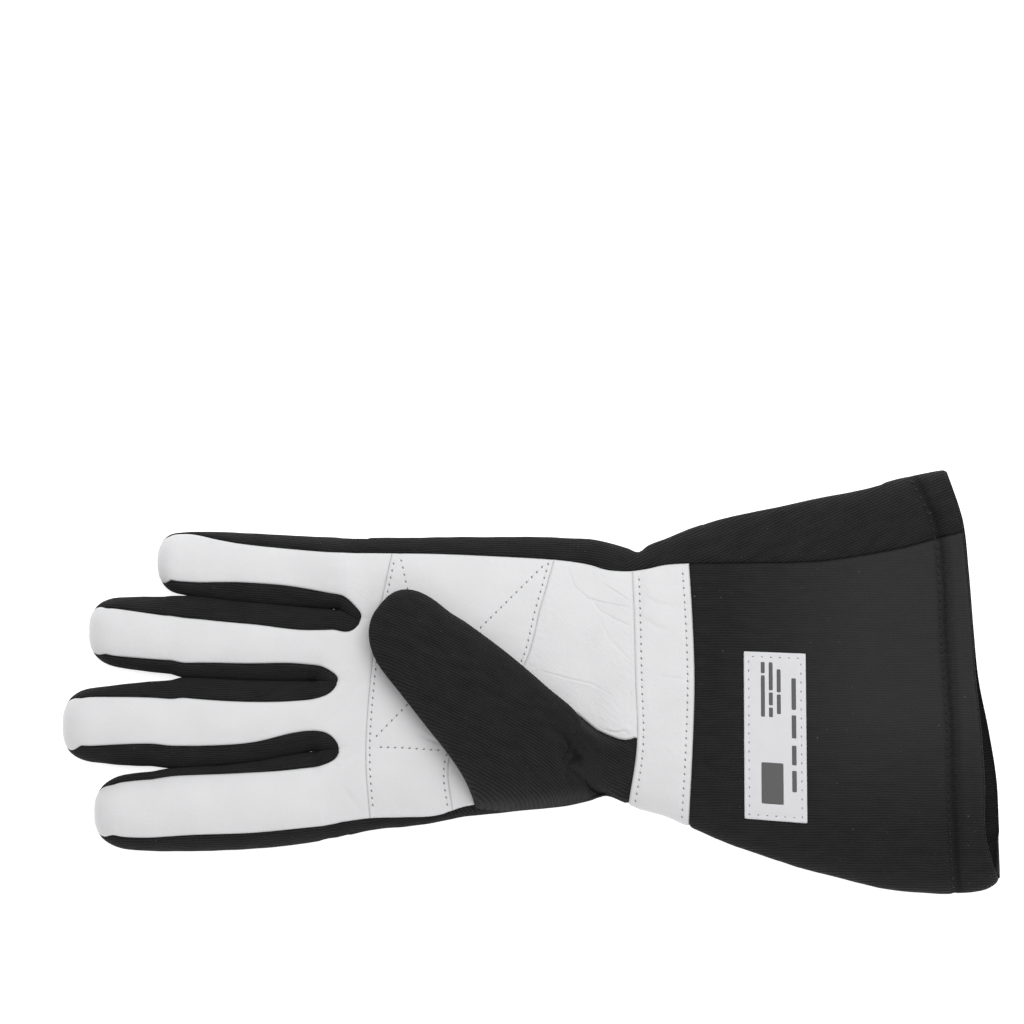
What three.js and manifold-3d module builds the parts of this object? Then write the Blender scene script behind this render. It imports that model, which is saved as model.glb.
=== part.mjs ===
// A left-hand racing glove lying on its back, palm up, with the thumb folded across the palm.
// Millimetres. +X runs from the fingers to the cuff, +Y to the little-finger side, +Z up out of the palm.
import * as THREE from "three";
import Module from "manifold-3d";

const wasm = await Module();
wasm.setup();

// Wall thickness of each fabric, and the gap that neighbouring pieces keep
const KNIT = 1.8;
const LEATHER = 1.4;
const HEM = 3.0;
const WOVEN = 0.7;
const GAP = 0.3;

// Outline of the hand and gauntlet from the knuckles to the cuff. pinky and index are the two side
// edges, seamPinky and seamIndex the edges of the palm leather, crown the height of the palm side.
const OUTLINE = [
  { x: -68, pinky: 49.8, seamPinky: 44.6, seamIndex: -49.0, index: -54.0, crown: 15.5 },
  { x: -45, pinky: 49.7, seamPinky: 44.5, seamIndex: -46.6, index: -50.3, crown: 16 },
  { x: -22, pinky: 49.7, seamPinky: 44.2, seamIndex: -42.6, index: -45.0, crown: 16 },
  { x: 5, pinky: 49.3, seamPinky: 42.6, seamIndex: -40.0, index: -42.2, crown: 16 },
  { x: 20, pinky: 48.7, seamPinky: 41.0, seamIndex: -37.6, index: -39.6, crown: 16 },
  { x: 27, pinky: 47.7, seamPinky: 39.6, seamIndex: -37.4, index: -39.4, crown: 16.5 },
  { x: 37, pinky: 44.8, seamPinky: 38.8, seamIndex: -42.0, index: -44.0, crown: 17 },
  { x: 46, pinky: 48.9, seamPinky: 40.5, seamIndex: -44.9, index: -46.9, crown: 17.5 },
  { x: 55, pinky: 53.0, seamPinky: 41.0, seamIndex: -48.5, index: -50.5, crown: 18 },
  { x: 70, pinky: 57.8, seamPinky: 41.2, seamIndex: -54.2, index: -56.2, crown: 19.5 },
  { x: 99, pinky: 64.1, seamPinky: 41.8, seamIndex: -63.8, index: -65.8, crown: 22.5 },
  { x: 128, pinky: 70.6, seamPinky: 46.5, seamIndex: -70.4, index: -72.4, crown: 25 },
  { x: 146, pinky: 73.8, seamPinky: 51.3, seamIndex: -71.1, index: -73.1, crown: 26 },
  { x: 155, pinky: 74.5, seamPinky: 53.0, seamIndex: -70.3, index: -72.3, crown: 26 },
  { x: 162, pinky: 75.0, seamPinky: 54.5, seamIndex: -64.0, index: -66.0, crown: 26 },
];

// Lines that run across the glove, each as x at five places from the little-finger side to the index
// side. span is the number of rows of faces between a line and the next one.
const ACROSS = [0, 0.25, 0.5, 0.75, 1];
const LINES = [
  { name: "hem_edge", x: [141.8, 149.5, 152.8, 155.3, 162], span: 2 },
  { name: "hem_stitch", x: [129.7, 139.4, 142.1, 143.2, 145.6], span: 6 },
  { name: "band_right", x: [53.1, 54.9, 55.9, 55.2, 53.8], span: 2 },
  { name: "band_left", x: [35.9, 36.9, 37.6, 37.3, 34.2], span: 5 },
  { name: "patch_arc", x: [9.7, 3.1, -4.5, -27.3, -27.3], span: 4 },
  { name: "patch_edge", x: [-47.6, -53.8, -56.2, -56.2, -54.9], span: 1 },
  { name: "knuckles", x: [-57.3, -59.0, -67.6, -66.2, -64.0], span: 0 },
];
// The back layer of the cuff reaches a little further than the palm layer
const BACK_HEM = [141.8, 150.2, 154.8, 159.8, 162];

// Where the four fingers divide the width, at the knuckles and from the wrist on
const LANES_AT_KNUCKLES = [0, 0.252, 0.465, 0.7025, 1];
const LANES_AT_WRIST = [0, 0.25, 0.5, 0.75, 1];
const KNUCKLES_X = -64;
const WRIST_X = 20;
// Beside the thumb's root the knit reaches over the palm: the border of the index lane moves by a share
// of the width, most at x and fading over reach
const WEB = { x: 13, reach: 9, rise: 0.09 };

// Each finger from its root to its tip. near and far are its two sides, seamNear and seamFar the edges
// of its leather, cap the length of its rounded end.
const FINGERS = [
  {
    name: "little", tip: -129.2, cap: 8, height: 13,
    sections: [
      { x: -60, near: 49.7, seamNear: 44.6, seamFar: 28.5, far: 24.6 },
      { x: -72, near: 49.9, seamNear: 45.2, seamFar: 31.5, far: 25.7 },
      { x: -85, near: 50.4, seamNear: 46.3, seamFar: 33.7, far: 26.6 },
      { x: -100, near: 51.3, seamNear: 48.0, seamFar: 34.8, far: 28.0 },
      { x: -115, near: 51.6, seamNear: 49.9, seamFar: 34.8, far: 30.0 },
      { x: -129, near: 50.8, seamNear: 49.4, seamFar: 35.2, far: 31.6 },
    ],
  },
  {
    name: "ring", tip: -152.9, cap: 11, height: 14.5,
    sections: [
      { x: -66, near: 24.8, seamNear: 18.5, seamFar: 5.0, far: 1.2 },
      { x: -80, near: 25.5, seamNear: 17.8, seamFar: 6.9, far: 0.8 },
      { x: -97, near: 26.9, seamNear: 19.7, seamFar: 6.6, far: 1.0 },
      { x: -115, near: 28.8, seamNear: 21.3, seamFar: 7.1, far: 2.1 },
      { x: -130, near: 29.6, seamNear: 23.4, seamFar: 8.1, far: 4.1 },
      { x: -150, near: 28.6, seamNear: 26.4, seamFar: 9.3, far: 6.2 },
    ],
  },
  {
    name: "middle", tip: -162, cap: 12, height: 15,
    sections: [
      { x: -66, near: 0.4, seamNear: -4.1, seamFar: -17.3, far: -22.6 },
      { x: -80, near: 0.0, seamNear: -6.3, seamFar: -16.8, far: -24.2 },
      { x: -97, near: 0.2, seamNear: -6.9, seamFar: -20.2, far: -27.2 },
      { x: -115, near: 1.2, seamNear: -6.1, seamFar: -21.5, far: -28.8 },
      { x: -135, near: -0.2, seamNear: -5.1, seamFar: -21.3, far: -28.9 },
      { x: -158, near: -2.6, seamNear: -4.9, seamFar: -22.5, far: -27.4 },
    ],
  },
  {
    name: "index", tip: -151.1, cap: 12, height: 15.5,
    sections: [
      { x: -66, near: -23.4, seamNear: -27.9, seamFar: -49.3, far: -53.6 },
      { x: -80, near: -24.9, seamNear: -30.3, seamFar: -49.9, far: -55.7 },
      { x: -97, near: -28.1, seamNear: -31.7, seamFar: -51.8, far: -57.3 },
      { x: -115, near: -29.7, seamNear: -32.5, seamFar: -52.9, far: -58.1 },
      { x: -135, near: -31.3, seamNear: -33.6, seamFar: -53.9, far: -57.9 },
      { x: -149, near: -33.5, seamNear: -35.2, seamFar: -53.0, far: -56.2 },
    ],
  },
];

// The thumb, from its root at the index edge to its tip. left and right are the two sides of the tube
// as it lies on the palm, low and high the heights of its under and upper faces. The hollow starts a
// little way along, clear of the index edge. cap is the length of the rounded end, bluntness the share
// of the section that its last ring keeps, crowding how much closer the rings get towards the tip.
const THUMB = {
  cap: 18, steps: 16, sides: 20, hollowStart: 0.11, bluntness: 0.02, crowding: 1.25,
  sections: [
    { leftX: -19.5, leftY: -43.6, rightX: 25.5, rightY: -41.2, low: 3.5, high: 9.0 },
    { leftX: -20.0, leftY: -41.4, rightX: 21.0, rightY: -37.0, low: 4.5, high: 21.0 },
    { leftX: -21.7, leftY: -37.0, rightX: 16.0, rightY: -28.0, low: 9.0, high: 27.5 },
    { leftX: -24.8, leftY: -31.0, rightX: 15.5, rightY: -14.0, low: 17.2, high: 30.8 },
    { leftX: -30.0, leftY: -23.5, rightX: 4.5, rightY: -2.0, low: 17.2, high: 31.6 },
    { leftX: -36.5, leftY: -15.0, rightX: -9.3, rightY: 9.8, low: 17.2, high: 31.2 },
    { leftX: -45.5, leftY: -3.5, rightX: -22.4, rightY: 20.0, low: 17.2, high: 30.6 },
    { leftX: -50.6, leftY: 3.5, rightX: -30.0, rightY: 25.4, low: 17.2, high: 30.2 },
    { leftX: -60.5, leftY: 15.0, rightX: -43.0, rightY: 37.4, low: 17.4, high: 29.4 },
  ],
};

// The woven label on the palm side and the badge on the back, as rectangles seen from above
const LABEL = { x0: 73.3, x1: 94.5, y0: -48.0, y1: 10.2, clear: 0.45, columns: 4, rows: 9 };
const BADGE = {
  x0: 85, x1: 103, y0: -16.5, y1: 48, border: 1.5, corner: 1.5, cornerFaces: 3, thickness: 1.0,
};
// The back is lifted this far round the badge, then comes down again over the slope
const BADGE_LIFT = { flat: 14, slope: 12 };

// How round each section is: 2 is an ellipse, more is squarer
const PALM_SQUARE = 3.6;
const FINGER_SQUARE = 2.3;
const THUMB_SQUARE = 2.35;
const THUMB_END_SQUARE = 2.5;
// Height of the side edge as a share of the crown, and how far the underside is pressed flat
const WAIST = 0.42;
const PRESSED_FLAT = 1.3;
// The crotch lies this far beyond the end of the leather's opening, and its valley fades over VALLEY
const CROTCH = 8;
const VALLEY = 30;
// Gathers of the elastic at the wrist, on the back
const GATHER = { x: 24, reach: 13, lift: 3.2, ripple: 1.3, folds: 9, fade: 0.01 };
// The valley beside the hem's stitches, on the palm side
const HEM_VALLEY = { beyond: 2, width: 3, depth: 1 };

// Rows along each finger beyond the crotch, as shares of the way to the tip
const FINGER_ROWS = [0.06, 0.2, 0.36, 0.52, 0.68, 0.82, 0.9, 0.955, 0.988, 1];
// Rows between the end of the leather's opening and the crotch, as distances
const OPENING_ROWS = [0, 2.5, CROTCH];

// The back's seam on the index side, in from the edge, where the palm side wraps over
const WRAP = 15;
// The outermost faces of the back, as a share of the hand's width and of half a finger's width
const BACK_EDGE = 0.07;
const FINGER_BACK = 0.28;
// Beyond the crotch, neighbouring fingers part over the first distance, the edges of the back's faces
// reach their place over the second, and a finger takes its own height over the third
const EASE = { part: 5, edges: 6, height: 20 };

// Columns of a lane: where the middle column of each side lies, and the three inside the face
const PALM_COLUMNS = { near: 0.4, far: 0.6 };
const BACK_COLUMNS = { near: 0.3, far: 0.8 };
const FACE_COLUMNS = [0.25, 0.5, 0.75];
// Rounds in which a row's x and its places across settle on each other
const ROUNDS = 6;

const LAST_LANE = FINGERS.length - 1;

const clamp = (value, low, high) => Math.min(high, Math.max(low, value));
const mix = (a, b, share) => a + (b - a) * share;
const smoothstep = (value) => {
  const t = clamp(value, 0, 1);
  return t * t * (3 - 2 * t);
};

// Smooth curve through a column of values over a column of places
function curve(places, values, at) {
  const last = places.length - 1;
  const rising = places[last] > places[0];
  let i = 0;
  while (i < last - 1 && (rising ? at > places[i + 1] : at < places[i + 1])) i += 1;
  const slope = (k) => {
    const a = Math.max(0, k - 1);
    const b = Math.min(last, k + 1);
    return (values[b] - values[a]) / (places[b] - places[a]);
  };
  const width = places[i + 1] - places[i];
  const t = clamp((at - places[i]) / width, 0, 1);
  const t2 = t * t;
  const t3 = t2 * t;
  return values[i] * (2 * t3 - 3 * t2 + 1) + values[i + 1] * (3 * t2 - 2 * t3)
    + slope(i) * width * (t3 - 2 * t2 + t) + slope(i + 1) * width * (t3 - t2);
}

const column = (table, name) => table.map((row) => row[name]);
const outline = (name, x) => curve(column(OUTLINE, "x"), column(OUTLINE, name), x);
const lineX = (line, across) => curve(ACROSS, line, across);
const knucklesX = (across) => lineX(LINES[LINES.length - 1].x, across);

// A rounded section: 1 in the middle, 0 at the sides with an upright edge
const rounded = (u, square) => Math.sqrt(Math.max(0, 1 - Math.abs(u) ** square));

// How much of the valley between two fingers is there, by the distance from the crotch to the palm
const valley = (distance) => {
  const t = clamp(distance / VALLEY, 0, 1);
  return 1 - Math.sqrt(1 - (1 - t) ** 2);
};

const lanes = (x) => {
  const share = smoothstep((x - KNUCKLES_X) / (WRIST_X - KNUCKLES_X));
  const web = WEB.rise * Math.exp(-(((x - WEB.x) / WEB.reach) ** 2));
  return LANES_AT_KNUCKLES.map((edge, k) => mix(edge, LANES_AT_WRIST[k], share)
    - (k === LAST_LANE ? web : 0));
};

// How far the gathers lift the back off the table
function gatherLift(x, across) {
  const near = Math.max(0, Math.exp(-(((x - GATHER.x) / GATHER.reach) ** 2)) - GATHER.fade);
  const ripple = Math.cos(2 * Math.PI * GATHER.folds * across);
  return near * (GATHER.lift + GATHER.ripple * ripple);
}

// The back is lifted over the badge, which lies flush with the table
function badgeLift(x, y) {
  const away = Math.hypot(Math.max(BADGE.x0 - x, 0, x - BADGE.x1), Math.max(BADGE.y0 - y, 0, y - BADGE.y1));
  return (BADGE.thickness + GAP) * smoothstep(1 - (away - BADGE_LIFT.flat) / BADGE_LIFT.slope);
}

// Height of the palm side (+1) or the back (-1) of the hand at a place across it
function handHeight(x, across, side) {
  const crown = outline("crown", x);
  const waist = crown * WAIST;
  const fullness = rounded(2 * across - 1, PALM_SQUARE);
  if (side > 0) {
    const stitch = lineX(LINES[1].x, across);
    const { beyond, width, depth } = HEM_VALLEY;
    const hemValley = depth * Math.exp(-(((x - stitch - beyond) / width) ** 2));
    return waist + (crown - waist - hemValley) * fullness;
  }
  const y = mix(outline("pinky", x), outline("index", x), across);
  const bottom = waist * (1 - Math.min(1, PRESSED_FLAT * fullness));
  return bottom + gatherLift(x, across) * fullness + badgeLift(x, y);
}

// A point of the hand. s says where it lies across its lane, from -1 to 1.
function handPoint(x, s, across, side) {
  const y = mix(outline("pinky", x), outline("index", x), across);
  const crown = outline("crown", x);
  const waist = crown * WAIST;
  const reach = valley(x - knucklesX(across) + CROTCH);
  const finger = rounded(s, FINGER_SQUARE);
  const round = side > 0
    ? waist + (crown - waist) * finger
    : waist * (1 - Math.min(1, PRESSED_FLAT * finger));
  return [x, y, mix(handHeight(x, across, side), round, reach)];
}

// A point of a finger, from the end of the leather's opening on
function fingerPoint(lane, x, s, beyondCrotch, side) {
  const finger = FINGERS[lane];
  const at = (name, k = lane) => {
    const sections = FINGERS[k].sections;
    return curve(column(sections, "x"), column(sections, name), x);
  };
  // At the crotch neighbouring fingers share one line, and beyond it they part
  const apart = smoothstep(beyondCrotch / EASE.part);
  let near = at("near");
  let far = at("far");
  if (lane > 0) near = mix((near + at("far", lane - 1)) / 2, near, apart);
  if (lane < LAST_LANE) far = mix((far + at("near", lane + 1)) / 2, far, apart);
  const left = clamp((x - finger.tip) / finger.cap, 0, 1);
  const end = (1 - (1 - left) ** FINGER_SQUARE) ** (1 / FINGER_SQUARE);
  const y = (near + far) / 2 - ((near - far) / 2) * end * s;
  const grown = smoothstep(beyondCrotch / EASE.height);
  const crown = mix(outline("crown", KNUCKLES_X), finger.height, grown);
  const waist = crown * WAIST;
  const fullness = rounded(s, FINGER_SQUARE);
  const round = side > 0
    ? (crown - waist) * fullness
    : -waist * Math.min(1, PRESSED_FLAT * fullness);
  return [x, y, waist + round * end];
}

// Places across one lane, from the little-finger side to the index side: two faces of the side or
// fourchette, four of the face between the seams, two of the other side.
const placesAcross = (start, first, last, end, columns) => [start, mix(start, first, columns.near), first,
  ...FACE_COLUMNS.map((share) => mix(first, last, share)), last, mix(last, end, columns.far), end];

function laneTop(lane, x) {
  const edges = lanes(x);
  const pinky = outline("pinky", x);
  const width = pinky - outline("index", x);
  const first = lane === 0 ? (pinky - outline("seamPinky", x)) / width : edges[lane];
  const last = lane === LAST_LANE ? (pinky - outline("seamIndex", x)) / width : edges[lane + 1];
  return placesAcross(edges[lane], first, last, edges[lane + 1], PALM_COLUMNS);
}

function laneBottom(lane, x) {
  const edges = lanes(x);
  const width = outline("pinky", x) - outline("index", x);
  const first = lane === 0 ? BACK_EDGE : edges[lane];
  const last = lane === LAST_LANE ? 1 - WRAP / width : edges[lane + 1];
  return placesAcross(edges[lane], first, last, edges[lane + 1], BACK_COLUMNS);
}

// Places across a finger, -1 to 1
function fingerColumns(lane, x, beyondCrotch, side) {
  const sections = FINGERS[lane].sections;
  const at = (name) => curve(column(sections, "x"), column(sections, name), x);
  const centre = (at("near") + at("far")) / 2;
  const half = (at("near") - at("far")) / 2;
  let first = side > 0 ? (centre - at("seamNear")) / half : FINGER_BACK - 1;
  let last = side > 0 ? (centre - at("seamFar")) / half : 1 - FINGER_BACK;
  // The opening in the leather has a round end and reaches its width at the crotch
  const left = clamp(-beyondCrotch / CROTCH, 0, 1);
  const open = side > 0 ? Math.sqrt(1 - left ** 2) : smoothstep(beyondCrotch / EASE.edges);
  if (lane > 0) first = mix(-1, first, open);
  if (lane < LAST_LANE) last = mix(1, last, open);
  return placesAcross(-1, first, last, 1, PALM_COLUMNS);
}

// Rows of the whole glove from the cuff to the fingertips, each as what it is made of
const rows = [];
LINES.forEach((line, k) => {
  for (let i = 0; i < line.span; i += 1) {
    rows.push({ zone: line.name, next: k + 1, line: k, share: i / line.span });
  }
});
const openingStart = rows.length;
OPENING_ROWS.forEach((distance) => rows.push({ zone: "opening", distance }));
FINGER_ROWS.forEach((share) => rows.push({ zone: "finger", share }));

const COLUMNS = 8;

// x of a row of the hand at a place across it, on the palm side or the back
function rowX(row, across, side) {
  const from = row.line === 0 && side < 0 ? BACK_HEM : LINES[row.line].x;
  return mix(lineX(from, across), lineX(LINES[row.next].x, across), row.share);
}

function vertex(rowIndex, lane, j, side) {
  const row = rows[rowIndex];
  if (row.zone === "opening" || row.zone === "finger") {
    const edges = lanes(KNUCKLES_X);
    const rootX = (s) => knucklesX(mix(edges[lane], edges[lane + 1], (s + 1) / 2));
    const tip = FINGERS[lane].tip;
    const guess = row.zone === "opening" ? rootX(0) - row.distance
      : mix(rootX(0) - CROTCH, tip, row.share);
    const beyondGuess = row.zone === "opening" ? row.distance - CROTCH : rootX(0) - CROTCH - guess;
    const s = fingerColumns(lane, guess, beyondGuess, side)[j];
    const x = row.zone === "opening" ? rootX(s) - row.distance
      : mix(rootX(s) - CROTCH, tip, row.share);
    const beyond = rootX(s) - CROTCH - x;
    const point = fingerPoint(lane, x, s, beyond, side);
    if (row.zone === "opening") {
      const across = mix(edges[lane], edges[lane + 1], (s + 1) / 2);
      const waist = outline("crown", x) * WAIST;
      const reach = valley(-beyond);
      point[2] = mix(handHeight(x, across, side), point[2], reach);
      if (reach === 1 && Math.abs(s) === 1) point[2] = waist;
      if (rowIndex === openingStart) {
        point[1] = mix(outline("pinky", x), outline("index", x), across);
      }
    }
    return point;
  }
  let x = rowX(row, 0.5, side);
  let across = 0;
  for (let round = 0; round < ROUNDS; round += 1) {
    across = (side > 0 ? laneTop(lane, x) : laneBottom(lane, x))[j];
    x = rowX(row, across, side);
  }
  const edges = lanes(x);
  const s = clamp(2 * (across - edges[lane]) / (edges[lane + 1] - edges[lane]) - 1, -1, 1);
  return handPoint(x, s, across, side);
}

// The whole skin as one list of shared points and of four-cornered cells
const points = [];
const pointIndex = new Map();
function share(position) {
  const key = position.map((value) => Math.round(value * 1e4)).join(" ");
  if (!pointIndex.has(key)) {
    pointIndex.set(key, points.length);
    points.push(position);
  }
  return pointIndex.get(key);
}

const cells = [];
for (const side of [1, -1]) {
  for (let lane = 0; lane < FINGERS.length; lane += 1) {
    const grid = rows.map((row, r) => Array.from({ length: COLUMNS + 1 },
      (_, j) => share(vertex(r, lane, j, side))));
    for (let r = 0; r < rows.length - 1; r += 1) {
      for (let j = 0; j < COLUMNS; j += 1) {
        let corners = [grid[r][j], grid[r + 1][j], grid[r + 1][j + 1], grid[r][j + 1]];
        if (side < 0) corners.reverse();
        corners = corners.filter((corner, k) => corner !== corners[(k + 1) % 4]);
        if (corners.length > 2) cells.push({ corners, row: r, lane, column: j, side });
      }
    }
  }
}

const vector = (position) => new THREE.Vector3(...position);

// Normal of the skin at each shared point
const normals = points.map(() => new THREE.Vector3());
for (const cell of cells) {
  const corners = cell.corners.map((corner) => vector(points[corner]));
  const normal = new THREE.Vector3();
  for (let k = 1; k < corners.length - 1; k += 1) {
    const one = corners[k].clone().sub(corners[0]);
    const other = corners[k + 1].clone().sub(corners[0]);
    normal.add(one.cross(other));
  }
  normal.normalize();
  for (const corner of cell.corners) normals[corner].add(normal);
}
for (const normal of normals) normal.normalize();

// Which piece of the glove a cell belongs to
const rowOf = (name) => rows.findIndex((row) => row.zone === name);
const bandLeft = rowOf("band_left");
const bandRight = rowOf("band_right");
const patchArc = rowOf("patch_arc");
const patchEdge = rowOf("patch_edge");

function pieceOf({ row, lane, column: j, side }) {
  const nearSide = j < 2;
  const farSide = j >= COLUMNS - 2;
  if (row >= openingStart) {
    if (nearSide && lane > 0) return `fourchette_${lane}`;
    if (farSide && lane < LAST_LANE) return `fourchette_${lane + 1}`;
    if (side < 0 || nearSide || farSide) return "back_panel";
    return "palm_leather";
  }
  const onPalm = side > 0 && !(lane === 0 && nearSide);
  const wrapped = side < 0 && lane === LAST_LANE && farSide;
  if (row < bandRight) return onPalm || wrapped ? "gauntlet_palm" : "back_panel";
  if (row < bandLeft) return onPalm || wrapped ? "wrist_band" : "back_panel";
  if (!onPalm || (lane === LAST_LANE && farSide)) return "back_panel";
  const besideThumb = lane === LAST_LANE && row < bandLeft + 2;
  const underThumb = lane === LAST_LANE && row < patchArc - 1 && j >= COLUMNS / 2;
  if (besideThumb || underThumb) return "back_panel";
  if (row < patchArc) return "palm_heel";
  if (row < patchEdge) return "palm_patch";
  return "palm_leather";
}

const pieces = new Map();
for (const cell of cells) {
  const name = pieceOf(cell);
  if (!pieces.has(name)) pieces.set(name, []);
  pieces.get(name).push(cell);
}

const isHem = (cell) => rows[cell.row].zone === "hem_edge";

// Edges that only one of the given cells has, each as its two points
function borderOf(someCells) {
  const edges = new Map();
  for (const { corners } of someCells) {
    corners.forEach((a, k) => {
      const b = corners[(k + 1) % corners.length];
      edges.set(`${a} ${b}`, [a, b]);
    });
  }
  return [...edges.values()].filter(([a, b]) => !edges.has(`${b} ${a}`));
}

// A border point is drawn in by half the gap and a little more. Where the border turns a corner it is
// drawn in further, as the sum of its edges' directions gets shorter, down to the shortest.
const DRAWN_IN = GAP / 2 + 0.02;
const SHORTEST = 0.5;

// A wall of cloth: the cells of one piece, drawn in from its borders, with an inner face behind them
function wall(pieceCells, thickness) {
  const border = borderOf(pieceCells);
  const shift = new Map();
  for (const [a, b] of border) {
    const along = vector(points[b]).sub(vector(points[a])).normalize();
    for (const end of [a, b]) {
      const inward = new THREE.Vector3().crossVectors(normals[end], along).normalize();
      if (!shift.has(end)) shift.set(end, []);
      shift.get(end).push(inward);
    }
  }
  const thick = new Map();
  for (const cell of pieceCells) {
    for (const corner of cell.corners) {
      const depth = isHem(cell) ? HEM : thickness;
      thick.set(corner, Math.max(thick.get(corner) ?? 0, depth));
    }
  }
  const index = new Map();
  const outer = [];
  const inner = [];
  for (const corner of thick.keys()) {
    const place = vector(points[corner]);
    if (shift.has(corner)) {
      const inward = new THREE.Vector3();
      for (const one of shift.get(corner)) inward.add(one);
      const length = Math.max(SHORTEST, inward.length() / shift.get(corner).length);
      place.addScaledVector(inward.normalize(), DRAWN_IN / length);
    }
    place.z = Math.max(place.z, 0);
    index.set(corner, outer.length);
    outer.push(place);
    inner.push(place.clone().addScaledVector(normals[corner], -thick.get(corner)));
  }
  const count = outer.length;
  const triangles = [];
  for (const { corners } of pieceCells) {
    const ids = corners.map((corner) => index.get(corner));
    for (let k = 1; k < ids.length - 1; k += 1) {
      triangles.push([ids[0], ids[k], ids[k + 1]]);
      triangles.push([ids[0] + count, ids[k + 1] + count, ids[k] + count]);
    }
  }
  for (const [a, b] of border) {
    const i = index.get(a);
    const j = index.get(b);
    triangles.push([j, i, i + count], [j, i + count, j + count]);
  }
  return solid([...outer, ...inner], triangles);
}

function solid(vertices, triangles) {
  const vertProperties = new Float32Array(vertices.flatMap((point) => [point.x, point.y, point.z]));
  const triVerts = new Uint32Array(triangles.flat());
  const mesh = new wasm.Mesh({ numProp: 3, vertProperties, triVerts });
  mesh.merge();
  return new wasm.Manifold(mesh);
}

// The whole body of the hand as one closed solid, swollen by a margin
function bodySolid(margin) {
  const vertices = points.map((position, k) => vector(position).addScaledVector(normals[k], margin));
  const triangles = [];
  for (const { corners } of cells) {
    for (let k = 1; k < corners.length - 1; k += 1) {
      triangles.push([corners[0], corners[k], corners[k + 1]]);
    }
  }
  const rim = borderOf(cells);
  const centre = new THREE.Vector3();
  for (const [a] of rim) centre.add(vertices[a]);
  centre.divideScalar(rim.length);
  vertices.push(centre);
  for (const [a, b] of rim) triangles.push([b, a, vertices.length - 1]);
  return solid(vertices, triangles);
}

// The thumb as a closed tube, drawn in by a wall's thickness for its hollow. u runs from root to tip.
function thumbSolid(inset) {
  const { sections, cap, steps, sides, hollowStart, bluntness, crowding } = THUMB;
  const places = sections.map((_, k) => k);
  const at = (name, u) => curve(places, column(sections, name), u * (sections.length - 1));
  const corner = (edge, u) => new THREE.Vector2(at(`${edge}X`, u), at(`${edge}Y`, u));
  const tip = corner("left", 1).add(corner("right", 1)).multiplyScalar(0.5);
  const start = inset > 0 ? hollowStart : 0;
  const vertices = [];
  for (let k = 0; k < steps; k += 1) {
    const u = mix(start, 1, 1 - (1 - k / steps) ** crowding);
    const across = corner("right", u).sub(corner("left", u)).multiplyScalar(0.5);
    const centre = corner("left", u).add(across);
    const toTip = clamp((centre.distanceTo(tip) - inset) / (cap - inset), bluntness, 1);
    const end = (1 - (1 - toTip) ** THUMB_END_SQUARE) ** (1 / THUMB_END_SQUARE);
    across.setLength((across.length() - inset) * end);
    const middle = (at("low", u) + at("high", u)) / 2;
    const tall = ((at("high", u) - at("low", u)) / 2 - inset) * end;
    for (let i = 0; i < sides; i += 1) {
      const angle = (2 * Math.PI * i) / sides;
      const [c, e] = [Math.cos(angle), Math.sin(angle)]
        .map((v) => Math.sign(v) * Math.abs(v) ** (2 / THUMB_SQUARE));
      const [x, y] = [centre.x + across.x * c, centre.y + across.y * c];
      vertices.push(new THREE.Vector3(x, y, middle + tall * e));
    }
  }
  const triangles = [];
  const id = (k, i) => k * sides + (i % sides);
  for (let k = 0; k < steps - 1; k += 1) {
    for (let i = 0; i < sides; i += 1) {
      triangles.push([id(k, i), id(k + 1, i + 1), id(k, i + 1)]);
      triangles.push([id(k, i), id(k + 1, i), id(k + 1, i + 1)]);
    }
  }
  for (const k of [0, steps - 1]) {
    const centre = new THREE.Vector3();
    for (let i = 0; i < sides; i += 1) centre.addScaledVector(vertices[id(k, i)], 1 / sides);
    if (k > 0) centre.lerp(new THREE.Vector3(tip.x, tip.y, centre.z), 0.5);
    vertices.push(centre);
    for (let i = 0; i < sides; i += 1) {
      const fan = [vertices.length - 1, id(k, i), id(k, i + 1)];
      triangles.push(k === 0 ? fan : fan.reverse());
    }
  }
  return solid(vertices, triangles);
}

// The label as a thin sheet just clear of the gauntlet
function labelSolid() {
  const { x0, x1, y0, y1, clear, columns, rows: count } = LABEL;
  const vertices = [];
  for (const lift of [clear + WOVEN, clear]) {
    for (let i = 0; i <= count; i += 1) {
      for (let j = 0; j <= columns; j += 1) {
        const x = mix(x0, x1, j / columns);
        const y = mix(y0, y1, i / count);
        const across = (outline("pinky", x) - y) / (outline("pinky", x) - outline("index", x));
        vertices.push(new THREE.Vector3(x, y, handHeight(x, across, 1) + lift));
      }
    }
  }
  const id = (layer, i, j) => (layer * (count + 1) + i) * (columns + 1) + j;
  const triangles = [];
  const quad = (a, b, c, d) => triangles.push([a, b, c], [a, c, d]);
  for (let i = 0; i < count; i += 1) {
    for (let j = 0; j < columns; j += 1) {
      quad(id(0, i, j), id(0, i, j + 1), id(0, i + 1, j + 1), id(0, i + 1, j));
      quad(id(1, i, j), id(1, i + 1, j), id(1, i + 1, j + 1), id(1, i, j + 1));
    }
    quad(id(0, i, 0), id(0, i + 1, 0), id(1, i + 1, 0), id(1, i, 0));
    quad(id(0, i + 1, columns), id(0, i, columns), id(1, i, columns), id(1, i + 1, columns));
  }
  for (let j = 0; j < columns; j += 1) {
    quad(id(0, 0, j + 1), id(0, 0, j), id(1, 0, j), id(1, 0, j + 1));
    quad(id(0, count, j), id(0, count, j + 1), id(1, count, j + 1), id(1, count, j));
  }
  return solid(vertices, triangles);
}

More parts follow.
